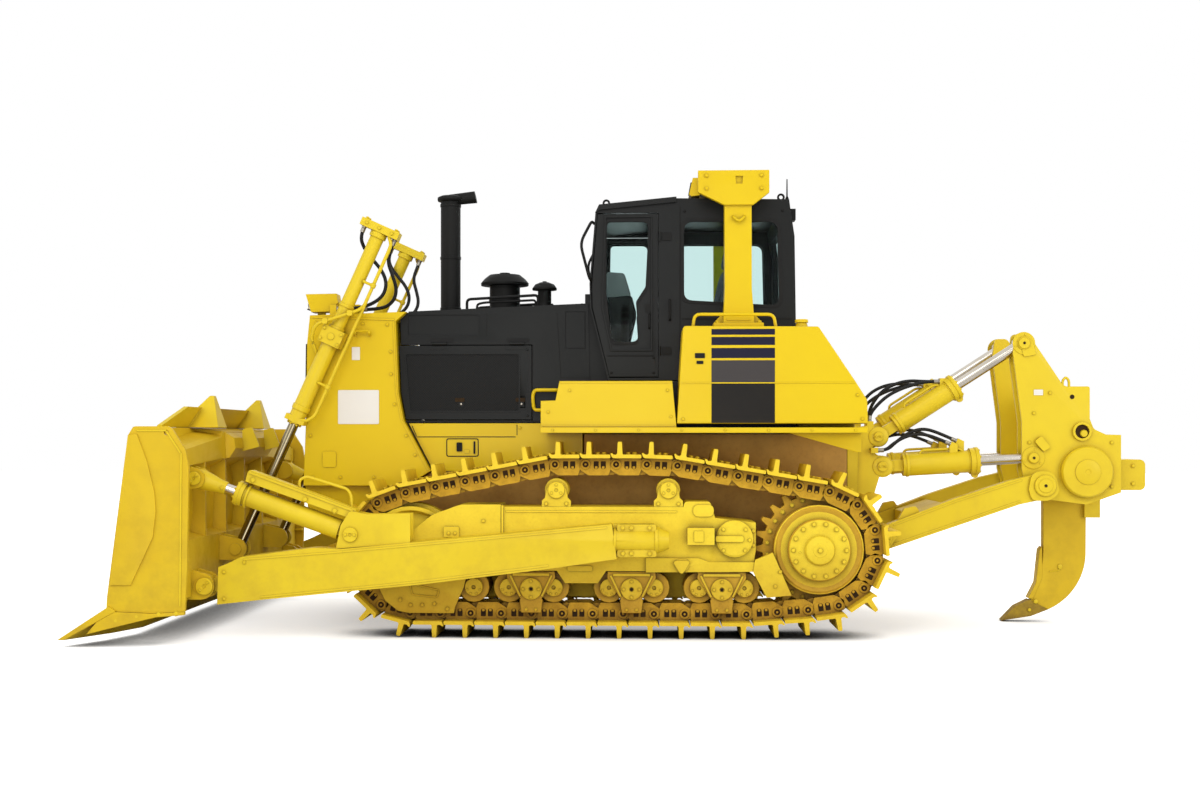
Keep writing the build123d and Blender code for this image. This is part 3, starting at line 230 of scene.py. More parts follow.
@dataclass(frozen=True)
class Enamel(Finish):
    """Sprayed enamel on plate steel: faint orange peel, broad tone drift, settled dust, and
    painted shade low down and in corners.
    """

    colour: Colour
    shade: Colour
    # Dust in random patches; their share grows towards the ground, which paints the shade of the
    # lower parts.
    dust: Colour = (0.78, 0.62, 0.28)
    dust_and_low_shade: float = 0.12
    roughness: float = 0.38
    peel: float = 160.0
    peel_depth: float = 0.0003
    coat: float = 0.06
    gloss: float = 0.28
    # Colour and share of the shade painted into corners.
    corner: Colour = (0.42, 0.3, 0.06)
    corner_shade_share: float = 0.62

    def paint(self, g: Graph) -> None:
        """Tone drift, dust, painted shade and peel.

        Tone = mix(colour, shade) by broad noise. Dust = a finer noise past a threshold, times a
        share that falls from 0.1 m to 1.9 m above the ground as painted shade; corners get painted
        shade.
        """
        broad = g.span(g.noise(0.9, 4.0), 0.35, 0.7, 0.0, 1.0)
        tone = g.mix(broad, linear(self.colour), linear(self.shade))
        # Painted shade: more of the dust colour towards the ground.
        low = g.span(g.along(2), 0.1, 1.9, self.dust_and_low_shade * 2.2, self.dust_and_low_shade * 0.35)
        patch = g.span(g.noise(5.5, 6.0, 0.62), 0.42, 0.68, 0.0, 1.0)
        share = g.compute("MULTIPLY", low, patch)
        dust_and_shade_tone = g.mix(share, tone, linear(self.dust))
        # Painted shade: ambient occlusion darkens the corners.
        g.set(Base_Color=g.shade_corners(dust_and_shade_tone, self.corner, 0.07, self.corner_shade_share),
              Roughness=g.span(share, 0.0, 0.3, self.roughness, self.roughness + 0.22))
        g.set(Coat_Weight=self.coat, Coat_Roughness=0.18, Specular_IOR_Level=self.gloss)
        g.bump(g.noise(self.peel, 2.0), self.peel_depth, 0.35)


@dataclass(frozen=True)
class WornPaint(Finish):
    """Paint on castings that run through earth: thin tone, brown grime in patches, dull metal, and
    painted shade low down and in corners.
    """

    colour: Colour
    grime: Colour
    amount: float = 0.5
    scale: float = 9.0
    roughness: float = 0.55
    metal: float = 0.0
    # Colour of the shade painted into corners, share of the painted shade near the ground, and
    # share of the corner shade.
    corner: Colour = (0.3, 0.2, 0.08)
    ground_shade: float = 0.55
    corner_shade_share: float = 0.85

    def paint(self, g: Graph) -> None:
        """Grime = noise of two scales past a threshold, plus painted shade that grows below 0.8 m.
        """
        patch = g.span(g.noise(self.scale, 7.0, 0.65), 0.36, 0.72, 0.0, self.amount)
        speck = g.span(g.noise(self.scale * 9.0, 4.0, 0.6), 0.5, 0.75, 0.0, self.amount * 0.5)
        # Painted shade: the grime colour grows towards the ground below 0.8 m.
        low = g.span(g.along(2), 0.2, 0.8, self.ground_shade, 0.0)
        share = g.compute("ADD", g.compute("ADD", patch, speck), low, clamp=True)
        grime_and_shade = g.mix(share, linear(self.colour), linear(self.grime))
        # Painted shade: ambient occlusion darkens the corners.
        g.set(Base_Color=g.shade_corners(grime_and_shade, self.corner, 0.09, self.corner_shade_share),
              Roughness=g.span(share, 0.0, 1.0, self.roughness, min(0.95, self.roughness + 0.3)))
        g.set(Metallic=self.metal, Specular_IOR_Level=0.25)
        g.bump(g.noise(self.scale * 14.0, 5.0, 0.6), 0.0012, 0.5)


@dataclass(frozen=True)
class Bright(Finish):
    """Ground or plated steel: fine scratches round the bar and a light film of oil."""

    colour: Colour
    roughness: float = 0.16
    stretch: Point = (1.0, 1.0, 30.0)

    def paint(self, g: Graph) -> None:
        """Roughness follows stretched noise, colour a film of oil."""
        fine = g.noise(60.0, 4.0, 0.6, self.stretch)
        film = g.span(g.noise(6.0, 4.0), 0.4, 0.7, 0.0, 0.25)
        g.set(Base_Color=g.mix(film, linear(self.colour), linear((0.62, 0.58, 0.5))),
              Roughness=g.span(fine, 0.3, 0.7, self.roughness * 0.7, self.roughness * 1.6))
        g.set(Metallic=1.0)
        g.bump(fine, 0.00008, 0.3)


@dataclass(frozen=True)
class Moulded(Finish):
    """Rubber, moulded plastic or trim: grained, matt and a little dusty."""

    colour: Colour
    pale: Colour
    roughness: float = 0.6
    grain: float = 900.0
    depth: float = 0.0002

    def paint(self, g: Graph) -> None:
        """Dust by broad noise, grain by fine noise."""
        dust = g.span(g.noise(7.0, 6.0, 0.6), 0.45, 0.8, 0.0, 0.5)
        g.set(Base_Color=g.mix(dust, linear(self.colour), linear(self.pale)),
              Roughness=g.span(dust, 0.0, 0.5, self.roughness, self.roughness + 0.12))
        g.set(Specular_IOR_Level=0.25)
        g.bump(g.noise(self.grain, 2.0), self.depth, 0.5)


@dataclass(frozen=True)
class Woven(Finish):
    """Seat cloth: two crossed wave patterns make the threads, noise makes the wear."""

    colour: Colour
    pale: Colour
    threads: float = 260.0

    def paint(self, g: Graph) -> None:
        """Height = product of two crossed bands."""
        bands = [g.add("ShaderNodeTexWave", {"Vector": g.coordinates, "Scale": self.threads},
                       wave_type="BANDS", bands_direction=axis).outputs[1] for axis in "YZ"]
        weave = g.compute("MULTIPLY", *bands)
        g.set(Base_Color=g.mix(weave, linear(self.colour), linear(self.pale)),
              Roughness=g.span(g.noise(12.0), 0.3, 0.7, 0.8, 0.95))
        g.set(Sheen_Weight=0.3)
        g.bump(weave, 0.0008, 0.6)


@dataclass(frozen=True)
class Pane(Finish):
    """Tinted safety glass with a faint film of dust."""

    tint: Colour
    clear: float = 1.0

    def paint(self, g: Graph) -> None:
        """A clear shader whose roughness carries a smear of dust."""
        smear = g.span(g.noise(3.0, 5.0, 0.6), 0.55, 0.85, 0.0, 0.035)
        g.set(Base_Color=linear(self.tint), Roughness=smear)
        g.set(Transmission_Weight=self.clear, IOR=1.12)


@dataclass(frozen=True)
class Punched(Finish):
    """Sheet with rows of round holes painted near black as the shade behind them: holes are where
    two crossed bands both pass half.
    """

    colour: Colour
    hole_shade: Colour
    pitch: float = 0.022

    def paint(self, g: Graph) -> None:
        """Hole where cos(2 pi x / pitch) cos(2 pi z / pitch) passes about 0.35."""
        turn = 2 * math.pi / self.pitch
        waves = [
            g.compute("COSINE", g.compute("MULTIPLY", g.along(axis), turn)) for axis in (0, 2)]
        hole_shade = g.span(g.compute("MULTIPLY", *waves), 0.3, 0.42, 0.0, 1.0)
        # Painted shade: the holes take the near-black colour.
        g.set(Base_Color=g.mix(hole_shade, linear(self.colour), linear(self.hole_shade)), Roughness=0.5)
        g.set(Specular_IOR_Level=0.15)
        g.bump(hole_shade, -0.002, 0.6)


BLACK: Colour = (0.03, 0.03, 0.03)
YELLOW = Enamel(
    "machine_yellow", (0.895, 0.772, 0.06), (0.875, 0.742, 0.05), dust=(0.8, 0.66, 0.16),
    gloss=0.2)
YELLOW_WORK = Enamel(
    "work_yellow", (0.91, 0.8, 0.135), (0.89, 0.77, 0.12), dust=(0.74, 0.6, 0.2),
    dust_and_low_shade=0.16, roughness=0.46)
YELLOW_BLADE = Enamel(
    "blade_yellow", (0.88, 0.75, 0.115), (0.85, 0.705, 0.095), dust=(0.7, 0.56, 0.18),
    dust_and_low_shade=0.2, roughness=0.5, corner_shade_share=0.35)
# Hull colour darkened to brown: painted shade for the main frame, which sits in the tracks'
# shadow.
HULL_PAINTED_SHADE = WornPaint(
    "hull_shade", (0.78, 0.6, 0.28), (0.52, 0.38, 0.2), 0.4, 3.0, corner_shade_share=0.45)
SHOE_PAINT = WornPaint(
    "shoe_yellow", (0.95, 0.82, 0.18), (0.7, 0.52, 0.14), 0.26, 9.0, ground_shade=0.2,
    corner_shade_share=0.6)
CHAIN_PAINT = WornPaint(
    "chain_yellow", (0.86, 0.68, 0.15), (0.5, 0.35, 0.12), 0.42, 10.0, ground_shade=0.3)
DRUM_PAINT = WornPaint(
    "drum_yellow", (0.84, 0.67, 0.17), (0.56, 0.4, 0.14), 0.34, 7.0, ground_shade=0.3)
CHARCOAL = Enamel(
    "charcoal_satin", (0.092, 0.098, 0.097), (0.074, 0.078, 0.078), dust=(0.3, 0.29, 0.27),
    dust_and_low_shade=0.05, roughness=0.42, coat=0.02, gloss=0.16, corner=BLACK)
STACK_BLACK = Enamel(
    "stack_black", (0.085, 0.085, 0.082), (0.065, 0.065, 0.063), dust=(0.24, 0.22, 0.19),
    dust_and_low_shade=0.06, roughness=0.55, coat=0.0, gloss=0.16, corner=BLACK)
FRAME_PAINT = WornPaint("frame_yellow", (0.955, 0.845, 0.205), (0.68, 0.48, 0.13), 0.2, 5.0)
# Dark brown for discs and plates in bores, windows and slots: painted shade of recesses.
PAINTED_HOLE_SHADE = WornPaint("dark_gap", (0.2, 0.14, 0.06), (0.1, 0.07, 0.04), 0.6, 14.0, 0.8)
EDGE_STEEL = WornPaint("edge_yellow", (0.9, 0.75, 0.15), (0.42, 0.33, 0.17), 0.32, 7.0, 0.45)
CHROME = Bright("rod_chrome", (0.84, 0.81, 0.76))
# Chrome darkened and tinted gold: painted reflection of the yellow round the lift rods, and
# painted shade.
CHROME_PAINTED_REFLECTION = Bright("rod_dark_chrome", (0.52, 0.48, 0.38))
PIN_STEEL = Bright("pin_steel", (0.62, 0.6, 0.56), 0.32)
RUBBER = Moulded("hose_rubber", (0.055, 0.055, 0.058), (0.2, 0.19, 0.17), 0.5, 500.0)
SEAL = Moulded("window_seal", (0.045, 0.045, 0.048), (0.16, 0.16, 0.15), 0.65)
PLASTIC = Moulded("console_plastic", (0.13, 0.13, 0.135), (0.26, 0.26, 0.25), 0.62)
CLOTH = Woven("seat_cloth", (0.1, 0.1, 0.11), (0.2, 0.2, 0.21))
GLASS = Pane("cab_glass_tint", (0.888, 0.955, 0.95))
LAMP_GLASS = Pane("lamp_lens", (0.95, 0.95, 0.92), 0.8)
DASH_GREY = Moulded("dash_grey", (0.42, 0.43, 0.43), (0.5, 0.51, 0.51))
DECAL = {"dust_and_low_shade": 0.01, "roughness": 0.4, "coat": 0.0, "gloss": 0.12}
NAVY = Enamel("stripe_navy", (0.12, 0.115, 0.2), (0.11, 0.106, 0.185), **DECAL)
BLOCK_GREY = Enamel("block_grey", (0.27, 0.255, 0.255), (0.258, 0.245, 0.245), **DECAL)
BLOCK_BLACK = Enamel("block_black", (0.13, 0.12, 0.11), (0.12, 0.112, 0.104), **DECAL)
# Door screen whose holes are painted near black as shade.
SCREEN = Punched("door_screen", (0.1, 0.102, 0.102), (0.03, 0.03, 0.032))
ENGINE_GREY = WornPaint("engine_iron", (0.25, 0.25, 0.24), (0.12, 0.1, 0.08), 0.5, 8.0)
LABEL_WHITE = Enamel("blank_plate", (0.93, 0.92, 0.9), (0.9, 0.89, 0.87), dust_and_low_shade=0.03)


# ---- mesh kit
@dataclass
class Form:
    """Points and faces gathered for one mesh, as blocks of arrays."""

    points: list[np.ndarray] = field(default_factory=list)
    faces: list[np.ndarray] = field(default_factory=list)
    count: int = 0

    def add(self, points: np.ndarray, *faces: np.ndarray) -> "Form":
        """Add points and the faces that index them, and return the form."""
        block = np.asarray(points, float).reshape(-1, 3)
        self.faces.extend(np.asarray(face, int) + self.count for face in faces)
        self.points.append(block)
        self.count += len(block)
        return self

    def join(self, *others: "Form") -> "Form":
        """Add other forms to this one."""
        for other in others:
            self.faces.extend(face + self.count for face in other.faces)
            self.points.extend(other.points)
            self.count += other.count
        return self

    def changed(self, matrix: np.ndarray, offset: np.ndarray) -> "Form":
        """Copy with every point p as matrix p + offset; faces turn over if it mirrors."""
        flip = np.linalg.det(matrix) < 0
        points = [block @ np.asarray(matrix, float).T + offset for block in self.points]
        faces = [face[:, ::-1] if flip else face for face in self.faces]
        return Form(points, faces, self.count)

    def moved(self, x: float = 0.0, y: float = 0.0, z: float = 0.0) -> "Form":
        """Copy moved by a vector."""
        return self.changed(np.eye(3), np.array([x, y, z]))

    def mirrored(self) -> "Form":
        """Copy on the other side of the machine: y becomes -y."""
        return self.changed(np.diag([1.0, -1.0, 1.0]), np.zeros(3))

    def on(self, side: float) -> "Form":
        """This form for the left (side 1), its mirror image for the right (side -1)."""
        return self if side > 0 else self.mirrored()

    def both(self) -> "Form":
        """This form and its mirror image."""
        return Form().join(self, self.mirrored())


def loop_quads(rows: int, columns: int, closed: bool = True) -> np.ndarray:
    """Quads between neighbouring rows of points; a closed row joins its ends."""
    r = np.arange(rows - 1)[:, None]
    c = np.arange(columns if closed else columns - 1)[None, :]
    n = (c + 1) % columns
    quads = np.stack(
        [r * columns + c, r * columns + n, (r + 1) * columns + n, (r + 1) * columns + c], axis=-1)
    return quads.reshape(-1, 4)


def corners(*rows: tuple[float, ...], steps: int = 4) -> np.ndarray:
    """Closed outline whose corners are (a, b) or (a, b, radius).

    A rounded corner of radius r is the quadratic curve that leaves and meets its two sides
    r / tan(half angle) from the corner, sampled at equal shares.
    """
    table = np.array([(row + (0.0,))[:3] for row in rows], float)
    point, radius = table[:, :2], table[:, 2]
    back = np.roll(point, 1, axis=0) - point
    ahead = np.roll(point, -1, axis=0) - point
    reach_back, reach_ahead = np.linalg.norm(back, axis=1), np.linalg.norm(ahead, axis=1)
    back, ahead = back / reach_back[:, None], ahead / reach_ahead[:, None]
    half = np.arccos(np.clip((back * ahead).sum(1), -1, 1)) / 2
    cut = np.minimum(
        radius / np.maximum(np.tan(half), 1e-6), 0.49 * np.minimum(reach_back, reach_ahead))
    share = np.linspace(0, 1, steps + 1)[None, :, None]
    first = (point + back * cut[:, None])[:, None, :]
    last = (point + ahead * cut[:, None])[:, None, :]
    middle = point[:, None, :]
    curve = (1 - share) ** 2 * first + 2 * share * (1 - share) * middle + share ** 2 * last
    keep = np.repeat(cut > 1e-9, steps + 1)
    keep[:: steps + 1] = True
    return curve.reshape(-1, 2)[keep]


def prism(outline: np.ndarray, y0: float, y1: float) -> Form:
    """Solid with an XZ outline between two Y values: two caps and a band of quads."""
    n = len(outline)
    flat = np.zeros((2, n, 3))
    flat[:, :, 0], flat[:, :, 2] = outline[:, 0], outline[:, 1]
    flat[0, :, 1], flat[1, :, 1] = y0, y1
    ring = np.arange(n)
    return Form().add(flat, loop_quads(2, n), ring[None, ::-1], ring[None, :] + n)


def bar(x0: float, x1: float, y0: float, y1: float, z0: float, z1: float) -> Form:
    """Rectangular bar between two values on each axis, for a later bevel."""
    return prism(np.array([(x0, z0), (x1, z0), (x1, z1), (x0, z1)]), y0, y1)


def window(outer: np.ndarray, inner: np.ndarray, y0: float, y1: float) -> Form:
    """Frame between two outlines with equal point counts, from y0 to y1."""
    n = len(outer)
    rings = [(outer, y0), (outer, y1), (inner, y1), (inner, y0), (outer, y0)]
    rows = np.zeros((5, n, 3))
    for row, (ring, y) in enumerate(rings):
        rows[row, :, 0], rows[row, :, 1], rows[row, :, 2] = ring[:, 0], y, ring[:, 1]
    return Form().add(rows[:4], np.concatenate([loop_quads(4, n), wrap_quads(3, 0, n)]))


def wrap_quads(last: int, first: int, columns: int) -> np.ndarray:
    """Quads that join one closed row of points to an earlier one."""
    c = np.arange(columns)
    n = (c + 1) % columns
    return np.stack(
        [last * columns + c, last * columns + n, first * columns + n, first * columns + c],
        axis=-1)


def frame_of(axis: np.ndarray) -> tuple[np.ndarray, np.ndarray, np.ndarray]:
    """Unit axis with two unit vectors square to it."""
    w = np.asarray(axis, float)
    w = w / np.linalg.norm(w)
    guide = np.array([0.0, 0.0, 1.0]) if abs(w[2]) < 0.9 else np.array([1.0, 0.0, 0.0])
    u = np.cross(guide, w)
    u = u / np.linalg.norm(u)
    return u, np.cross(w, u), w


def lathe(profile: list[Spot], centre: Point, axis: Point = ACROSS, sides: int = 32) -> Form:
    """Turned solid: point(h, t) = centre + height w + radius (cos t u + sin t v).

    Args:
        profile: (radius, height along the axis) from one end to the other.
        centre: where height is 0.
        axis: direction of height.
        sides: points round the turn.

    Returns:
        A closed form with flat ends.
    """
    u, v, w = frame_of(np.array(axis))
    table = np.array(profile, float)
    turn = np.arange(sides) * (2 * np.pi / sides)
    around = np.cos(turn)[:, None] * u + np.sin(turn)[:, None] * v
    points = (np.array(centre, float) + table[:, 1, None, None] * w
              + table[:, 0, None, None] * around[None, :, :])
    ring = np.arange(sides)
    last = (len(table) - 1) * sides
    return Form().add(
        points, loop_quads(len(table), sides), ring[None, ::-1], ring[None, :] + last)


def bolts(centres: np.ndarray, axis: Point, radius: float, height: float) -> Form:
    """Hexagon heads on round washers, one at each centre, made in one broadcast.

    Args:
        centres: (n, 3) points on the surface.
        axis: outward direction of the heads.
        radius: half width of a head across its corners.
        height: height of a head over its washer.

    Returns:
        One form with every head.
    """
    spots = np.asarray(centres, float).reshape(-1, 3)
    u, v, w = frame_of(np.array(axis))
    table = np.array([(1.45, -0.1), (1.45, 0.22), (1.0, 0.22), (1.0, 0.95), (0.8, 1.15)])
    turn = np.arange(6) * (np.pi / 3) + 0.3
    around = np.cos(turn)[:, None] * u + np.sin(turn)[:, None] * v
    one = (table[:, 1, None, None] * height * w
           + table[:, 0, None, None] * radius * around[None]).reshape(-1, 3)
    points = spots[:, None, :] + one[None]
    quads = loop_quads(len(table), 6)
    shift = (np.arange(len(spots)) * len(one))[:, None, None]
    top = np.arange(6)[None, :] + len(one) - 6
    return Form().add(
        points, (quads[None] + shift).reshape(-1, 4), (top[None] + shift).reshape(-1, 6))


def circle_of(centre: Point, radius: float, count: int, axis: Point = ACROSS,
              start: float = 0.0) -> np.ndarray:
    """Points spaced evenly on a circle square to an axis."""
    u, v, _ = frame_of(np.array(axis))
    turn = np.radians(start) + np.arange(count) * (2 * np.pi / count)
    return np.array(centre, float) + radius * (
        np.cos(turn)[:, None] * u + np.sin(turn)[:, None] * v)


def pipe(path: np.ndarray, radius: float, sides: int = 12, guide: Point = (0.0, 1.0,
                                                                           0.0)) -> Form:
    """Round tube along a path: ring k is square to the path's own direction there.

    The side vector is direction x guide, so the guide must never lie along the path.
    """
    line = np.asarray(path, float)
    ahead = np.gradient(line, axis=0)
    ahead /= np.linalg.norm(ahead, axis=1)[:, None]
    side = np.cross(ahead, np.array(guide, float))
    side /= np.linalg.norm(side, axis=1)[:, None]
    up = np.cross(side, ahead)
    turn = np.arange(sides) * (2 * np.pi / sides)
    points = (line[:, None, :] + radius * (np.cos(turn)[None, :, None] * side[:, None, :]
                                           + np.sin(turn)[None, :, None] * up[:, None, :]))
    ring = np.arange(sides)
    last = (len(line) - 1) * sides
    return Form().add(points, loop_quads(len(line), sides), ring[None, ::-1], ring[None, :] + last)


def bend(*points: Point, radius: float = 0.05, steps: int = 5) -> np.ndarray:
    """Path through corner points, each rounded like a bent bar."""
    table = np.array(points, float)
    back = table[:-2] - table[1:-1]
    ahead = table[2:] - table[1:-1]
    reach = np.minimum(np.linalg.norm(back, axis=1), np.linalg.norm(ahead, axis=1))
    cut = np.minimum(radius, reach * 0.45)[:, None]
    first = table[1:-1] + back / np.linalg.norm(back, axis=1)[:, None] * cut
    last = table[1:-1] + ahead / np.linalg.norm(ahead, axis=1)[:, None] * cut
    share = np.linspace(0, 1, steps)[None, :, None]
    curve = ((1 - share) ** 2 * first[:, None] + 2 * share * (1 - share) * table[1:-1, None]
             + share ** 2 * last[:, None])
    return np.concatenate([table[:1], curve.reshape(-1, 3), table[-1:]])


@dataclass(frozen=True)
class Edge:
    """Rounding of a piece's edges: edges that turn by more degrees than sharp are rounded.

    A width of 0 leaves them square, and segments counts the faces across a rounded edge.
    """

    width: float = 0.0
    sharp: float = 38.0
    segments: int = 2


FITTING = Edge(0.0015, 30.0, 1)
THIN = Edge(0.001, 30.0, 1)


def place(form: Form, name: str, finish: Finish, body: str,
          edge: Edge = Edge()) -> bpy.types.Object:
    """Make one object of a form, at the origin, and fix it to a body.

    Args:
        form: the points and faces.
        name: the piece's name.
        finish: what its surface looks like.
        body: the CAD body that the piece moves with, or "" to fix it to none, as for a hose that
            runs between two.
        edge: how its edges are rounded.

    Returns:
        The new object.
    """
    mesh = bpy.data.meshes.new(name)
    faces = [tuple(row) for block in form.faces for row in block.tolist()]
    mesh.from_pydata(np.concatenate(form.points).tolist(), [], faces)
    work = bmesh.new()
    work.from_mesh(mesh)
    bmesh.ops.recalc_face_normals(work, faces=work.faces)
    work.to_mesh(mesh)
    work.free()
    return finish_mesh(mesh, name, finish, body, edge)


def finish_mesh(mesh: bpy.types.Mesh, name: str, finish: Finish, body: str,
                edge: Edge) -> bpy.types.Object:
    """Shade a mesh, give it its material and rounded edges, and fix it to a body."""
    mesh.materials.clear()
    mesh.materials.append(finish.material())
    mesh.polygons.foreach_set("use_smooth", np.ones(len(mesh.polygons), bool))
    mesh.set_sharp_from_angle(angle=math.radians(edge.sharp))
    mesh.update()
    obj = bpy.data.objects.new(name, mesh)
    bpy.context.scene.collection.objects.link(obj)
    if edge.width:
        bevel = obj.modifiers.new("edges", "BEVEL")
        bevel.width, bevel.segments = edge.width, edge.segments
        bevel.limit_method, bevel.angle_limit = "ANGLE", math.radians(edge.sharp)
        bevel.harden_normals = True
        bevel.use_clamp_overlap = True
    if body:
        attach(obj, body)
    LOG.info("%s: %d faces", name, len(mesh.polygons))
    return obj


def soften(node: str, finish: Finish, bevel: float) -> None:
    """Stand a copy of a CAD node in for it, with flat faces merged and edges rounded."""
    apart, flat, sharp = 2e-5, math.radians(0.6), 34.0
    source = frame["nodes"][node]
    work = bmesh.new()
    work.from_mesh(source.data)
    bmesh.ops.remove_doubles(work, verts=work.verts, dist=apart)
    bmesh.ops.dissolve_limit(work, angle_limit=flat, verts=work.verts, edges=work.edges)
    mesh = bpy.data.meshes.new(node + "_skin")
    work.to_mesh(mesh)
    work.free()
    obj = finish_mesh(mesh, node + "_skin", finish, source["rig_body"], Edge(bevel, sharp))
    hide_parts(node)


def dress(node: str, finish: Finish) -> None:
    """Give a CAD node its material and leave its shape."""
    obj = frame["nodes"][node]
    obj.data.materials.clear()
    obj.data.materials.append(finish.material())


def side_bolts(rows: Iterable[Spot], y: float, radius: float, height: float) -> Form:
    """Bolt heads facing outwards at the (x, z) rows of a plane of one y."""
    table = np.array(rows, float)
    spots = np.column_stack([table[:, 0], np.full(len(table), y), table[:, 1]])
    return bolts(spots, ACROSS, radius, height)


def rounded(x0: float, x1: float, z0: float, z1: float, radius: float) -> np.ndarray:
    """Outline of a rectangle with rounded corners."""
    return corners((x0, z0, radius), (x1, z0, radius), (x1, z1, radius), (x0, z1, radius), steps=3)


def over(surface: float, height: float) -> tuple[float, float]:
    """From a hair under a surface to a height over it, so that nothing floats."""
    hair = 0.002
    return surface - hair, surface + height


def box_plate(x0: float, x1: float, z0: float, z1: float, y0: float, y1: float,
              radius: float = 0.006) -> Form:
    """Rounded rectangle on a side plane, from y0 to y1."""
    return prism(rounded(x0, x1, z0, z1, radius), y0, y1)


def cap(centre: Point, radius: float, height: float, heads: int = 0, share: float = 0.74,
        head: float = 0.011, start: float = 0.0, axis: Point = ACROSS) -> Form:
    """Round cover with a chamfered rim, a centre dimple and a circle of bolts.

    Args:
        centre: where the cover meets its surface.
        radius: outer radius.
        height: how far it stands out.
        heads: number of bolts.
        share: bolt circle over outer radius.
        head: half width of a bolt head.
        start: angle of the first bolt in degrees.
        axis: outward direction.

    Returns:
        One form.
    """
    rim, dimple, floor = 0.93, 0.24, 0.19
    form = lathe([(radius, -0.002), (radius, height * 0.7), (radius * rim, height),
                  (radius * dimple, height), (radius * floor, height * 0.6)], centre, axis, 28)
    if heads:
        top = np.array(centre, float) + np.array(axis, float) * height
        form.join(bolts(
            circle_of(tuple(top), radius * share, heads, axis, start), axis, head, head * 0.9))
    return form


def rail(*points: Point, radius: float = 0.014, turn: float = 0.05) -> Form:
    """Bent handrail through its corner points."""
    return pipe(bend(*points, radius=turn), radius, 10, (0.13, 0.37, 0.91))


def strip(start: Spot, stop: Spot, width: float, y0: float, y1: float) -> Form:
    """Straight bar on a side plane between two (x, z) points."""
    a, b = np.array(start, float), np.array(stop, float)
    step = (b - a) / np.linalg.norm(b - a) * width / 2
    side = np.array([-step[1], step[0]])
    return prism(np.array([a - side, b - side, b + side, a + side]), y0, y1)


def strips(lines: Iterable[Sequence[Spot]], width: float, y0: float, y1: float) -> Form:
    """Straight bars along the (x, z) lines, one between each two successive points."""
    return Form().join(*[strip(start, stop, width, y0, y1) for line in lines
                         for start, stop in zip(line, line[1:])])


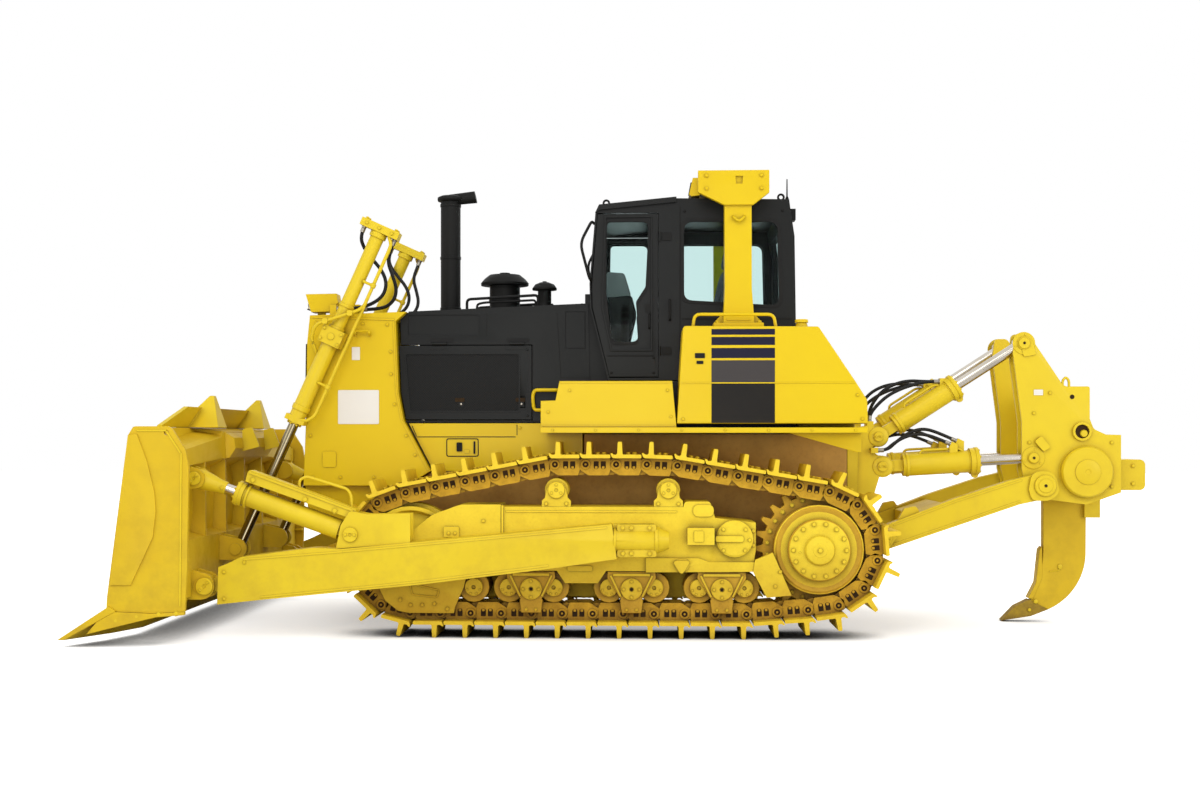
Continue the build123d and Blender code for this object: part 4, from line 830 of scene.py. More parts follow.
# ---- studio
@dataclass
class Studio:
    """Camera, lamps, floor and sky."""

    eye: Point = (-0.074, 14.3, 1.68)
    turn: float = 182.7
    lens: float = 46.1
    shift: tuple[float, float] = (0.0267, 0.0317)
    sky: float = 0.6

    def camera(self) -> None:
        """Set the level camera beside the machine's left."""
        data = bpy.data.cameras.new("side_camera")
        data.lens, data.sensor_width = self.lens, 36.0
        data.shift_x, data.shift_y = self.shift
        data.clip_end = 200.0
        obj = bpy.data.objects.new("side_camera", data)
        bpy.context.scene.collection.objects.link(obj)
        obj.location = self.eye
        obj.rotation_euler = (math.radians(90), 0, math.radians(self.turn))
        bpy.context.scene.camera = obj

    def lamp(self, name: str, place_at: Point, aim: Point, size: float, power: float,
             warmth: Colour = (1.0, 0.99, 0.97)) -> None:
        """Add one square area lamp."""
        data = bpy.data.lights.new(name, "AREA")
        data.shape, data.size, data.energy, data.color = "SQUARE", size, power, warmth
        obj = bpy.data.objects.new(name, data)
        bpy.context.scene.collection.objects.link(obj)
        obj.location = place_at
        heading = Vector(aim) - Vector(place_at)
        obj.rotation_euler = heading.to_track_quat("-Z", "Y").to_euler()

    def world(self) -> None:
        """Plain sky: soft light on the object, and white where it is seen directly."""
        world = bpy.data.worlds.new("sky")
        world.use_nodes = True
        bpy.context.scene.world = world
        net = Net(world.node_tree)
        net.nodes.clear()
        ray = net.add("ShaderNodeLightPath").outputs
        clear = net.compute("MAXIMUM", ray["Is Transmission Ray"], ray["Is Glossy Ray"])
        seen = net.compute("MAXIMUM", ray["Is Camera Ray"], clear)
        soft = net.add("ShaderNodeBackground", {0: (1.0, 0.99, 0.97, 1), 1: self.sky})
        white = net.add("ShaderNodeBackground", {0: (1, 1, 1, 1), 1: 1.0})
        blend = net.add("ShaderNodeMixShader", {0: seen, 1: soft.outputs[0], 2: white.outputs[0]})
        net.add("ShaderNodeOutputWorld", {0: blend.outputs[0]})

    def floor(self) -> None:
        """White floor that takes the machine's shadow, has a contact shadow painted under it, and
        glows brighter away from it.
        """
        half = 60.0
        mesh = bpy.data.meshes.new("floor")
        mesh.from_pydata(
            [(-half, -half, 0), (half, -half, 0), (half, half, 0), (-half, half, 0)], [],
            [(0, 1, 2, 3)])
        obj = bpy.data.objects.new("floor", mesh)
        bpy.context.scene.collection.objects.link(obj)
        material = bpy.data.materials.new("floor_white")
        material.use_nodes = True
        net = Net(material.node_tree)
        net.nodes.clear()
        # Painted shadow: ambient occlusion darkens the floor where the machine is within 0.45 m.
        near = net.add("ShaderNodeAmbientOcclusion", {"Distance": 0.45}, samples=8)
        lit = net.span(near.outputs["AO"], 0.15, 0.8, 0.0, 1.0)
        tone = net.mix(lit, (0.03, 0.03, 0.03, 1), (0.7, 0.7, 0.71, 1))
        diffuse = net.add("ShaderNodeBsdfDiffuse", {0: tone})
        ray = net.add("ShaderNodeLightPath").outputs
        seen = net.compute("MAXIMUM", ray["Is Camera Ray"], ray["Is Transmission Ray"])
        where = net.add("ShaderNodeTexCoord").outputs["Object"]
        spot = net.add("ShaderNodeMapping", {"Vector": where, "Scale": (0.5, 1.0, 1.0)})
        away = net.add("ShaderNodeVectorMath", {0: spot.outputs[0]}, operation="LENGTH")
        # The floor glows brighter away from the machine, and less in the painted shadow.
        far = net.span(away.outputs["Value"], 1.3, 2.8, 0.45, 1.0)
        level = net.compute("MULTIPLY", net.compute("MULTIPLY", seen, far), lit)
        glow = net.add("ShaderNodeEmission", {1: level})
        both = net.add("ShaderNodeAddShader", {0: diffuse.outputs[0], 1: glow.outputs[0]})
        net.add("ShaderNodeOutputMaterial", {0: both.outputs[0]})
        mesh.materials.append(material)

    def build(self) -> None:
        """Set up the whole studio."""
        bpy.context.scene.view_settings.view_transform = "Standard"
        self.camera()
        self.world()
        self.floor()
        self.lamp("key", (1.0, 9.6, 8.6), (0.2, 0, 1.2), 5.0, 320.0, (1.0, 0.985, 0.95))
        self.lamp("low", (0.9, 10.5, 1.4), (0.4, 0, 0.8), 4.0, 190.0)
        self.lamp("fill", (9.5, 6.0, 4.5), (1.0, 0, 1.2), 5.0, 140.0)
        self.lamp("back_fill", (-9.0, 8.0, 4.0), (1.0, 0, 1.0), 5.0, 300.0)
        self.lamp("rim", (-7.0, -6.0, 7.5), (0, 0, 1.5), 6.0, 260.0, (1.0, 1.0, 1.0))


# ---- hoses
class Run(Enum):
    """A group of hoses: its CAD node, the body that moves, and the hoses' diameter."""

    LIFT = ("lift_hoses", "lift_cylinders", 0.032)
    TILT = ("ripper_hoses", "ripper_tilt_cylinders", 0.03)
    RAISE = ("ripper_hoses", "ripper_lift_cylinders", 0.03)


@dataclass
class Hoses:
    """Hydraulic hoses of the lift and ripper cylinders; each runs across one joint and is fixed to
    no body, while its ferrules ride on the bodies at its ends.
    """

    routes: tuple[tuple[Run, bool, tuple[Point, ...]], ...] = (
        (Run.LIFT, True, (
            (2.371, 0.77, 3.557), (2.41, 0.77, 3.47), (2.385, 0.715, 3.37),
            (2.31, 0.695, 3.27), (2.225, 0.69, 3.17), (2.185, 0.69, 3.06),
            (2.215, 0.685, 2.95), (2.32, 0.675, 2.875), (2.47, 0.655, 2.835),
            (2.64, 0.655, 2.835))),
        (Run.LIFT, True, (
            (2.098, 0.79, 3.433), (2.137, 0.79, 3.347), (2.165, 0.765, 3.24),
            (2.125, 0.725, 3.12), (2.095, 0.68, 3.0), (2.135, 0.64, 2.895),
            (2.25, 0.59, 2.835), (2.43, 0.59, 2.835))),
        (Run.TILT, False, (
            (-2.122, 0.362, 1.83), (-2.122, 0.362, 1.9), (-2.165, 0.37, 2.005),
            (-2.24, 0.378, 2.1), (-2.35, 0.382, 2.165), (-2.48, 0.382, 2.196),
            (-2.62, 0.382, 2.186), (-2.745, 0.382, 2.186))),
        (Run.TILT, False, (
            (-2.122, 0.422, 1.83), (-2.122, 0.422, 1.885), (-2.19, 0.42, 1.975),
            (-2.285, 0.418, 2.06), (-2.4, 0.418, 2.12), (-2.52, 0.418, 2.16),
            (-2.63, 0.418, 2.186), (-2.745, 0.418, 2.186))),
        (Run.RAISE, False, (
            (-2.18, 0.506, 1.57), (-2.265, 0.506, 1.57), (-2.34, 0.506, 1.64),
            (-2.45, 0.5, 1.725), (-2.59, 0.44, 1.768), (-2.74, 0.386, 1.73),
            (-2.9, 0.386, 1.654))),
        (Run.RAISE, False, (
            (-2.18, 0.54, 1.57), (-2.25, 0.54, 1.57), (-2.31, 0.54, 1.625),
            (-2.41, 0.536, 1.69), (-2.55, 0.49, 1.722), (-2.7, 0.426, 1.69),
            (-2.839, 0.426, 1.626))),
    )

    ferrule: tuple[Spot, ...] = (
        (0.64, -1.7), (0.64, -0.5), (0.56, -0.45), (0.7, -0.35), (0.7, 0.0))

    def line(self, points: np.ndarray) -> np.ndarray:
        """Points along the smooth curve that has the route as its control points."""
        data = bpy.data.curves.new("route", "CURVE")
        data.dimensions = "3D"
        spline = data.splines.new("NURBS")
        spline.points.add(len(points) - 1)
        spline.points.foreach_set("co", np.c_[points, np.ones(len(points))].ravel())
        spline.order_u = 3
        spline.use_endpoint_u = True
        spline.resolution_u = 10
        obj = bpy.data.objects.new("route", data)
        bpy.context.scene.collection.objects.link(obj)
        mesh = bpy.data.meshes.new_from_object(obj)
        found = np.zeros(len(mesh.vertices) * 3)
        mesh.vertices.foreach_get("co", found)
        bpy.data.objects.remove(obj)
        bpy.data.meshes.remove(mesh)
        return found.reshape(-1, 3)

    def tube(self, run: Run, moves_first: bool, points: np.ndarray, name: str) -> float:
        """One hose with a crimped ferrule at each end.

        Args:
            run: the group that the hose is in.
            moves_first: whether the first end is the one on the moving cylinder.
            points: the route's control points.
            name: the piece's name.

        Returns:
            The hose's length in metres.
        """
        node, body, diameter = run.value
        line = self.line(points)
        length = float(np.linalg.norm(np.diff(line, axis=0), axis=1).sum())
        obj = place(pipe(line, diameter / 2, 14), name, RUBBER, "", Edge(0.0, 60.0))
        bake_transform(obj)
        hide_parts(node)
        for end, inner, rides in ((line[0], line[2], moves_first),
                                  (line[-1], line[-3], not moves_first)):
            axis = tuple(end - inner)
            form = lathe(
                [(r * diameter, h * diameter) for r, h in self.ferrule], tuple(end), axis, 14)
            place(form, name + "_ferrule", PIN_STEEL, body if rides else "tractor",
                  Edge(0.001))
        return length

    def build(self) -> None:
        """Make every hose and its mirror image."""
        for index, (run, moves_first, route) in enumerate(self.routes):
            for side, label in SIDES:
                points = np.array(route) * np.array([1.0, side, 1.0])
                name = f"{run.name.lower()}_hose_{index}_{label}"
                LOG.info("%s: %.3f m", name, self.tube(run, moves_first, points, name))


# ---- tracks
@dataclass
class Tracks:
    """Shoes, links, pins and bushings of both tracks, and the wheels that carry them."""

    gauge: float = 2.26
    shoe_width: float = 0.61
    shoes: int = 39
    face: float = 0.08
    back: float = 0.05
    tip: float = 0.188
    rail: float = 0.097
    rail_gap: float = 0.118
    rail_half: float = 0.036
    bolt_shares: tuple[float, float] = (0.365, 0.595)
    wheels: tuple[Point, ...] = (
        (1.884, 0.703, 0.515), (0.635, 1.24, 0.221), (-0.309, 1.24, 0.221),
        (-1.572, 0.741, 0.503), (-0.947, 0.588, 0.4), (1.338, 0.588, 0.4))

    def pin_line(self) -> np.ndarray:
        """Closed line of the track pins: arcs on the wheels joined by their tangents.

        The tangent leaves wheel a at the angle heading - 90 + atan2(ra - rb, span), where
        span is the length of the straight between the two wheels.
        """
        table = np.array(self.wheels)
        after = np.roll(table, -1, axis=0)
        step = after[:, :2] - table[:, :2]
        drop = table[:, 2] - after[:, 2]
        span = np.sqrt((step ** 2).sum(1) - drop ** 2)
        leave = np.arctan2(step[:, 1], step[:, 0]) - np.pi / 2 + np.arctan2(drop, span)
        meet = np.roll(leave, 1)
        leave = meet + (leave - meet) % (2 * np.pi)
        share = np.linspace(0, 1, 181)[None, :]
        angle = meet[:, None] + (leave - meet)[:, None] * share
        x = table[:, 0, None] + table[:, 2, None] * np.cos(angle)
        z = table[:, 1, None] + table[:, 2, None] * np.sin(angle)
        line = np.stack([x.ravel(), z.ravel()], axis=-1)
        line = np.concatenate([line, line[:1]])
        lengths = np.concatenate([[0], np.cumsum(np.hypot(*np.diff(line, axis=0).T))])
        dense = np.linspace(0, lengths[-1], 24001)
        return np.stack([np.interp(dense, lengths, line[:, 0]),
                         np.interp(dense, lengths, line[:, 1])], axis=-1)

    def pins(self) -> np.ndarray:
        """Pins at equal chords along the pin line, with the pitch solved by halving."""
        line = self.pin_line()
        low, high, halvings, window = 0.2, 0.3, 26, 1600
        spots = np.zeros((self.shoes, 2))
        for _ in range(halvings):
            pitch, index, used = (low + high) / 2, 0, True
            for shoe in range(self.shoes):
                spots[shoe] = line[index]
                reach = np.hypot(*(line[index:index + window] - line[index]).T)
                past = np.argmax(reach >= pitch)
                index, used = index + int(past), bool(past) and used
                if not past:
                    break
            low, high = (pitch, high) if used and index < len(line) - 1 else (low, pitch)
        return spots

    def carried(self, form: Form, pins: np.ndarray, y: float) -> Form:
        """Repeat a link's form on every link.

        The form's x runs along the link in metres from its pin, z outwards from the pin
        line, y across. World point = pin + x along + z outward.
        """
        along = np.roll(pins, -1, axis=0) - pins
        along /= np.linalg.norm(along, axis=1)[:, None]
        outward = np.stack([along[:, 1], -along[:, 0]], axis=-1)
        result = Form()
        for block in form.points:
            world = np.zeros((len(pins), len(block), 3))
            flat = (pins[:, None, :] + block[None, :, 0, None] * along[:, None, :]
                    + block[None, :, 2, None] * outward[:, None, :])
            world[:, :, 0], world[:, :, 2] = flat[..., 0], flat[..., 1]
            world[:, :, 1] = block[None, :, 1] + y
            result.points.append(world.reshape(-1, 3))
        sizes = np.array([len(block) for block in form.points])
        starts = np.concatenate([[0], np.cumsum(sizes)])[:-1]
        base = np.concatenate([[0], np.cumsum(sizes * len(pins))])[:-1]
        for face in form.faces:
            block = int(np.searchsorted(starts, face.min(), side="right")) - 1
            local = face - starts[block]
            shift = (np.arange(len(pins)) * sizes[block])[:, None, None] + base[block]
            result.faces.append((local[None] + shift).reshape(-1, face.shape[1]))
        result.count = int(sizes.sum() * len(pins))
        return result

    def shoe(self, pitch: float) -> Form:
        """One shoe: a plate with a raised lip, a tall rounded grouser and its bolts."""
        half, face, back, tip = self.shoe_width / 2, self.face, self.back, self.tip
        outline = np.array([
            (-0.03, back + 0.01), (-0.016, back), (0.84 * pitch - 0.004, back),
            (0.84 * pitch, back + 0.006), (0.84 * pitch - 0.002, face - 0.004),
            (0.84 * pitch - 0.008, face), (0.252 * pitch, face), (0.226 * pitch, face + 0.01),
            (0.21 * pitch, tip - 0.012), (0.198 * pitch, tip - 0.002), (0.186 * pitch, tip),
            (0.098 * pitch, tip), (0.086 * pitch, tip - 0.002), (0.074 * pitch, tip - 0.012),
            (0.058 * pitch, face + 0.01), (0.03 * pitch, face), (-0.014, face),
            (-0.026, face + 0.01), (-0.037, face + 0.013), (-0.041, face + 0.006)])
        plate = prism(outline, -half, half)
        spots = np.array([
            (x, y, face) for x in (0.41 * pitch, 0.62 * pitch)
            for y in (-self.rail_gap - 0.02, self.rail_gap + 0.02)])
        return plate.join(bolts(spots, UP, 0.019, 0.016))

    def link(self, pitch: float, centre: float, out: float) -> Form:
        """One rail link: an outer plate round its pin and an inner plate that laps the next.

        Args:
            pitch: pin to pin.
            centre: y of the rail's middle.
            out: 1 where the rail's outer face is towards +Y, else -1.

        Returns:
            The link with its pin head.
        """
        rail, back = -self.rail, self.back
        outer = corners(
            (-0.047, 0.036, 0.03), (-0.047, -0.048, 0.035), (0.03, rail, 0.03),
            (0.76 * pitch, rail, 0.01), (0.83 * pitch, -0.052, 0.02), (0.83 * pitch, 0.03, 0.01),
            (0.8 * pitch, back, 0.004), (0.02, back, 0.02), steps=3)
        inner = corners(
            (0.55 * pitch, back, 0.004), (0.55 * pitch, rail + 0.004, 0.01),
            (pitch - 0.02, rail + 0.004, 0.03), (pitch + 0.047, -0.048, 0.035),
            (pitch + 0.047, 0.03, 0.03), (pitch - 0.004, back, 0.02), steps=3)
        face = centre + out * self.rail_half
        form = prism(outer, centre + out * 0.002, face)
        form.join(prism(inner, centre - out * 0.033, centre + out * 0.01))
        head = lathe(
            [(0.043, -0.004), (0.043, 0.005), (0.039, 0.009), (0.027, 0.009), (0.025, 0.003),
             (0.01, 0.003), (0.009, 0.008), (0.003, 0.009)], (0.004, face, -0.004), (0, out, 0),
            18)
        return form.join(head)

    def windows(self, pitch: float, centre: float, out: float) -> Form:
        """Painted shade of the two bolt windows in the side of a link and of the ring round its
        pin, as thin dark plates.
        """
        y = centre + out * self.rail_half
        form = Form()
        for x in (share * pitch for share in self.bolt_shares):
            ring = corners((x - 0.021, 0.022, 0.006), (x - 0.021, -0.044, 0.02),
                           (x + 0.021, -0.044, 0.02), (x + 0.021, 0.022, 0.006), steps=3)
            form.join(prism(ring, y - 0.0015, y + 0.0015))
        return form.join(lathe(
            [(0.024, 0.0), (0.024, 0.005), (0.013, 0.005)], (0.004, y, -0.004), (0, out, 0), 16))

    def nuts(self, pitch: float, centre: float, out: float) -> Form:
        """The bolt end that stands in each window."""
        y = centre + out * self.rail_half
        form = Form()
        for x in (share * pitch for share in self.bolt_shares):
            form.join(prism(
                corners((x - 0.011, -0.02, 0.006), (x - 0.011, -0.041, 0.004),
                        (x + 0.011, -0.041, 0.004), (x + 0.011, -0.02, 0.006), steps=2), y, centre
                + out * 0.0395))
        return form

    def chain(self, pitch: float) -> Form:
        """Links on both rails, bolt ends and the bushing between them, for one link length."""
        form = Form()
        for side in (-1.0, 1.0):
            form.join(
                self.link(pitch, side * self.rail_gap, side),
                self.nuts(pitch, side * self.rail_gap, side))
        bush = lathe(
            [(0.036, -self.rail_gap + 0.02), (0.036, self.rail_gap - 0.02)], (0.0, 0.0, 0.0),
            ACROSS, 14)
        return form.join(bush)

    def build(self) -> None:
        """Make shoes, chains and the painted shade of the bolt windows, and stand them in for the
        CAD loops.
        """
        pins = self.pins()
        pitch = float(np.linalg.norm(pins[1] - pins[0]))
        for side, name in SIDES:
            y = side * self.gauge / 2
            shoes = place(self.carried(self.shoe(pitch), pins, y), f"track_shoes_{name}",
                          SHOE_PAINT, "tractor", Edge(0.0, 30.0))
            chain = place(self.carried(self.chain(pitch), pins, y), f"track_chain_{name}",
                          CHAIN_PAINT, "tractor", Edge(0.0, 40.0))
            holes = Form()
            for out in (-1.0, 1.0):
                holes.join(self.windows(pitch, out * self.rail_gap, out))
            # Dark plates on the links: painted shade of the bolt windows and pin rings.
            place(self.carried(holes, pins, y), f"track_windows_{name}", PAINTED_HOLE_SHADE, "tractor")
            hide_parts(f"track_{name}")
            LOG.info("track %s: %d shoes at a pitch of %.1f mm, %d faces", name, len(pins),
                     pitch * 1000, len(shoes.data.polygons) + len(chain.data.polygons))


# ---- undercarriage fittings
@dataclass
class Undercarriage:
    """Covers, caps and bolts of the track frames, bogies, carriers and drives."""

    bogies: tuple[float, ...] = (0.849, 0.001, -0.757)
    reach: float = 0.19
    roller_z: float = 0.417
    bracket_y: float = 1.352
    frame_y: float = 1.36
    drive: Spot = (-1.572, 0.741)
    carriers: tuple[float, ...] = (0.635, -0.309)
    carrier_z: float = 1.24

    def bogie(self, x: float) -> Form:
        """Disc, guide plate and two roller caps of one bogie."""
        y = self.bracket_y
        form = cap((x, y, 0.407), 0.092, 0.02, 4, 0.72, 0.013)
        form.join(
            side_bolts(((x - 0.041, 0.233), (x + 0.041, 0.233)), y, 0.012, 0.012),
            strip((x - 0.155, 0.528), (x + 0.155, 0.528), 0.022, *over(y, 0.012)))
        for side in (-1, 1):
            form.join(
                self.roller(x + side * self.reach),
                strip((x + side * 0.176, 0.522), (x + side * 0.09, 0.345), 0.016,
                    *over(y, 0.01)))
        return form

    def roller(self, x: float) -> Form:
        """End cap of one roller with bolts round its lower half."""
        form = cap((x, 1.3, self.roller_z), 0.078, 0.036)
        turn = np.radians([200.0, 245.0, 295.0, 340.0])
        ring = np.column_stack([x + 0.058 * np.cos(turn), self.roller_z + 0.058 * np.sin(turn)])
        return form.join(side_bolts(ring, 1.336, 0.009, 0.008))

    def carrier(self, x: float) -> Form:
        """Hub cap and foot bolts of one carrier roller."""
        form = cap((x, 1.355, self.carrier_z), 0.07, 0.02, 3, 0.66, 0.01, 90.0)
        feet = ((x - 0.085, 1.126), (x + 0.085, 1.126))
        return form.join(side_bolts(feet, 1.355, 0.014, 0.014))

    def hub(self) -> Form:
        """Two rings of bolts, the filler plug and the ribs of a final drive."""
        x, z = self.drive
        form = bolts(circle_of((x, 1.369, z), 0.222, 14), ACROSS, 0.017, 0.018)
        form.join(
            bolts(circle_of((x, 1.175, z), 0.424, 27), ACROSS, 0.016, 0.016),
            lathe([(0.268, 1.268), (0.268, 1.28), (0.262, 1.284), (0.252, 1.366), (0.244, 1.37),
                   (0.13, 1.372), (0.116, 1.4), (0.108, 1.404), (0.04, 1.404)], (x, 0.0, z),
                ACROSS, 56),
            cap((x, 1.397, z), 0.06, 0.01, 0),
            bolts(np.array([(x, 1.404, z)]), ACROSS, 0.02, 0.018),
            lathe([(0.372, 1.292), (0.374, 1.3), (0.366, 1.303), (0.36, 1.298)], (x, 0.0, z),
                ACROSS, 48))
        return form.join(bolts(np.array([(x + 0.165, 1.362, z - 0.02)]), ACROSS, 0.01, 0.012))

    def pivot(self) -> Form:
        """Round pivot cover with its ridge, and the pads beside it."""
        form = side_bolts(
            ((-0.767, 0.915), (-0.952, 0.915), (-0.985, 0.828), (-0.947, 0.741), (-0.768, 0.741),
             (-0.735, 0.828)), 1.406, 0.015, 0.016)
        form.join(
            box_plate(-0.935, -0.7, 0.812, 0.862, 1.406, 1.428, 0.02),
            side_bolts(((-1.018, 0.9), (-1.018, 0.782)), 1.36, 0.015, 0.014))
        pad = corners((-0.341, 0.651, 0.02), (-0.495, 0.652, 0.02), (-0.418, 0.523, 0.03))
        form.join(
            prism(pad, 1.396, 1.408),
            side_bolts(((-1.24, 0.56), (-1.2, 0.44)), 1.39, 0.014, 0.013),
            box_plate(-0.69, -0.515, 1.02, 1.12, 1.358, 1.372, 0.05))
        return form.join(box_plate(-0.6, -0.52, 0.815, 0.905, 1.468, 1.478, 0.01))

    def front(self) -> Form:
        """Idler guard bolts, the cover bracket and the seams of the recoil housing."""
        form = side_bolts(
            ((1.961, 0.308), (1.873, 0.265), (1.774, 0.265), (1.67, 0.275), (1.56, 0.232)),
            1.336, 0.015, 0.014)
        form.join(
            box_plate(1.456, 1.586, 0.842, 0.932, 1.37, 1.388, 0.012),
            side_bolts(((1.543, 0.877), (1.489, 0.877)), 1.388, 0.013, 0.012),
            strip((1.09, 1.112), (1.09, 0.7), 0.016, 1.358, 1.378),
            strip((1.06, 1.06), (-0.38, 1.06), 0.014, 1.358, 1.366),
            side_bolts(((1.7, 0.74), (1.8, 0.74), (1.25, 0.98), (1.25, 0.8)), 1.372,
                0.014, 0.013),
            rail((1.879, 1.338, 0.445), (1.63, 1.338, 0.39), (1.65, 1.338, 0.33),
                (1.86, 1.338, 0.352), (1.879, 1.338, 0.44), radius=0.007, turn=0.02),
            cap((1.884, 1.312, 0.703), 0.07, 0.012, 4))
        return form.join(box_plate(0.33, 0.54, 0.56, 0.602, 1.358, 1.372, 0.015))

    def build(self) -> None:
        """Place the fittings of both sides."""
        form = Form().join(self.hub(), self.pivot(), self.front())
        form.join(bar(-1.0, 1.37, 0.882, 0.902, 0.3, 0.64))
        for x in self.bogies:
            form.join(self.bogie(x))
        for x in self.carriers:
            form.join(self.carrier(x))
        form.join(self.roller(1.338))
        place(form.both(), "undercarriage_fittings", FRAME_PAINT, "tractor",
              FITTING)
        # Dark discs at the bogie centres: painted shade of their pin bores.
        gaps = Form()
        for x in self.bogies:
            gaps.join(lathe([(0.014, 0.0), (0.014, 0.004)], (x, 1.364, 0.407), ACROSS, 12))
        place(gaps.both(), "undercarriage_gaps", PAINTED_HOLE_SHADE, "tractor")
        grid = [(x, y) for x in (0.041, -0.018, -0.077, -0.15) for y in (1.565, 1.654)]
        arm = Form()
        for z, way in ((0.94, -1), (0.736, 1)):
            arm.join(bolts(np.array([(x, y, z) for x, y in grid]), (0, 0, way), 0.019, 0.03))
        for low, high in ((0.704, 0.762), (0.914, 0.972)):
            arm.join(
                box_plate(-0.205, 0.118, low, high, 1.6, 1.69, 0.02),
                side_bolts([(x, (low + high) / 2) for x in (0.07, 0.0, -0.15)], 1.69, 0.017,
                    0.016))
        for x, lip in ((-0.215, 0.02), (0.128, 0.016)):
            arm.join(lathe([(0.114, -0.004), (0.118, 0.0), (0.118, lip), (0.114, lip + 0.004)],
                           (x, 1.61, 0.838), (1, 0, 0), 32))
        place(arm.both(), "trunnion_bolts", YELLOW_WORK, "push_arms", FITTING)


# ---- engine housing fittings
@dataclass
class Housing:
    """Radiator guard, hood, engine doors and side panels: seams, hinges, rails, plates."""

    hood_y: float = 0.6
    guard_y: float = 0.69

    def seams(self) -> Form:
        """Dark joint lines round the panels of the hood and the yellow lower panel."""
        y = self.hood_y
        lines = (((0.635, 2.216), (0.67, 2.805)), ((0.888, 1.86), (0.888, 2.5)),
                 ((1.784, 1.392), (2.004, 1.812)), ((0.38, 1.834), (2.04, 1.826)),
                 ((0.64, 2.216), (0.385, 2.216)), ((1.3, 2.6), (1.3, 2.8)),
                 ((1.028, 1.8), (1.028, 1.706)), ((1.04, 1.69), (1.925, 1.69)),
                 ((1.93, 1.694), (1.972, 1.79)))
        form = strips(lines, 0.007, y - 0.003, y + 0.0015)
        latch = window(rounded(1.372, 1.663, 1.513, 1.677, 0.02),
                       rounded(1.38, 1.655, 1.521, 1.669, 0.016), *over(y, 0.0025))
        form.join(
            latch,
            box_plate(1.52, 1.57, 1.56, 1.64, *over(y, 0.01), 0.01),
            strip((1.41, 1.54), (1.41, 1.65), 0.014, *over(y, 0.01)))
        for x0, x1 in ((1.621, 1.783), (0.939, 1.1)):
            form.join(box_plate(x0 - 0.02, x1 + 0.02, 2.536, 2.572, *over(y, 0.006), 0.01))
        for x in (1.06, 0.6):
            form.join(box_plate(x, x + 0.23, 1.395, 1.41, *over(y, 0.002), 0.004))
        g = self.guard_y
        form.join(strip((2.912, 2.18), (2.908, 2.52), 0.01, *over(g, 0.002)))
        return form

    def guard(self) -> Form:
        """Rear flange, top flange, lifting hook and bolts of the radiator guard."""
        y = self.guard_y
        rear = ((2.125, 2.722), (2.116, 2.489), (2.098, 2.08), (2.053, 1.84), (1.812, 1.387))
        form = strips([rear], 0.012, *over(y, 0.006))
        form.join(
            strip((2.115, 2.735), (2.876, 2.762), 0.014, *over(y, 0.008)),
            side_bolts(((2.18, 2.69), (2.4, 2.7), (2.62, 2.706), (2.82, 2.712),
                        (2.15, 2.45), (2.145, 2.25), (2.115, 1.98), (2.01, 1.7),
                        (1.93, 1.53), (2.85, 1.33), (2.6, 1.33), (2.3, 1.33),
                        (2.87, 1.7), (2.862, 2.1)), y, 0.013, 0.012),
            rail((2.336, y - 0.01, 2.6), (2.336, y + 0.05, 2.6), (2.336, y + 0.05, 2.632),
                (2.462, y + 0.05, 2.632), (2.462, y + 0.05, 2.6), (2.462, y - 0.01, 2.6),
                radius=0.01, turn=0.015),
            box_plate(2.64, 2.76, 1.42, 1.56, *over(y, 0.01), 0.02))
        return form

    def panel(self) -> Form:
        """Catch and bolts of the yellow panel under the hood."""
        y = self.hood_y
        form = box_plate(1.455, 1.5, 1.545, 1.575, *over(y, 0.008), 0.006)
        form.join(side_bolts(
            ((0.48, 1.42), (0.48, 1.77), (1.0, 1.77), (1.0, 1.43), (1.76, 1.43)), y,
            0.011, 0.01))
        return form

    def tops(self) -> Form:
        """Guard rails, clamp bands and lids on the hood."""
        form = Form()
        for points, radius in ((((1.494, 2.83), (1.494, 2.935), (0.85, 2.971), (0.85, 2.86)),
                                0.013),
                               (((1.403, 2.83), (1.403, 2.89), (1.34, 2.905), (0.87, 2.926),
                                 (0.87, 2.86)), 0.011)):
            for y in (0.45, -0.45):
                form.join(rail(*[(x, y, z) for x, z in points], radius=radius, turn=0.035))
        for z in (2.885, 3.36, 3.85):
            form.join(lathe([(0.094, -0.014), (0.098, -0.012), (0.098, 0.012), (0.094, 0.014)],
                            (1.698, 0.0, z), UP, 28))
        form.join(
            lathe([(0.144, 0.0), (0.149, 0.003), (0.149, 0.022), (0.144, 0.025)],
                (1.19, 0.0, 2.95), UP, 32),
            cap((1.19, 0.0, 3.198), 0.05, 0.022, axis=UP),
            cap((0.56, 0.0, 2.872), 0.085, 0.03, 6, axis=UP),
            cap((0.806, 0.2, 3.108), 0.02, 0.012, axis=UP))
        return form.join(bolts(
            np.array([(x, y, 2.876) for x in (0.45, 0.72) for y in (-0.52, 0.52)]), UP, 0.012,
            0.01))

    def door(self, side: float) -> Form:
        """Screen frame, hinge leaves and latches of one engine door, on the left or right."""
        y = self.hood_y
        outer = corners((1.0, 1.911, 0.01), (1.996, 1.911, 0.01), (2.042, 2.443, 0.01),
                        (1.0, 2.443, 0.01), steps=2)
        inner = corners((1.014, 1.925, 0.01), (1.985, 1.925, 0.01), (2.028, 2.429, 0.01),
                        (1.014, 2.429, 0.01), steps=2)
        form = window(outer, inner, y - 0.004, y + 0.004)
        for x in (0.988, 1.531):
            form.join(box_plate(x - 0.02, x + 0.02, 1.962, 2.006, y - 0.006, y - 0.001, 0.012))
        for x in (1.64, 0.94):
            form.join(box_plate(x + 0.01, x + 0.19, 2.47, 2.5, *over(y, 0.005), 0.008))
        form.join(side_bolts(((0.935, 1.88), (0.935, 2.47)), y, 0.009, 0.008))
        return form.on(side)

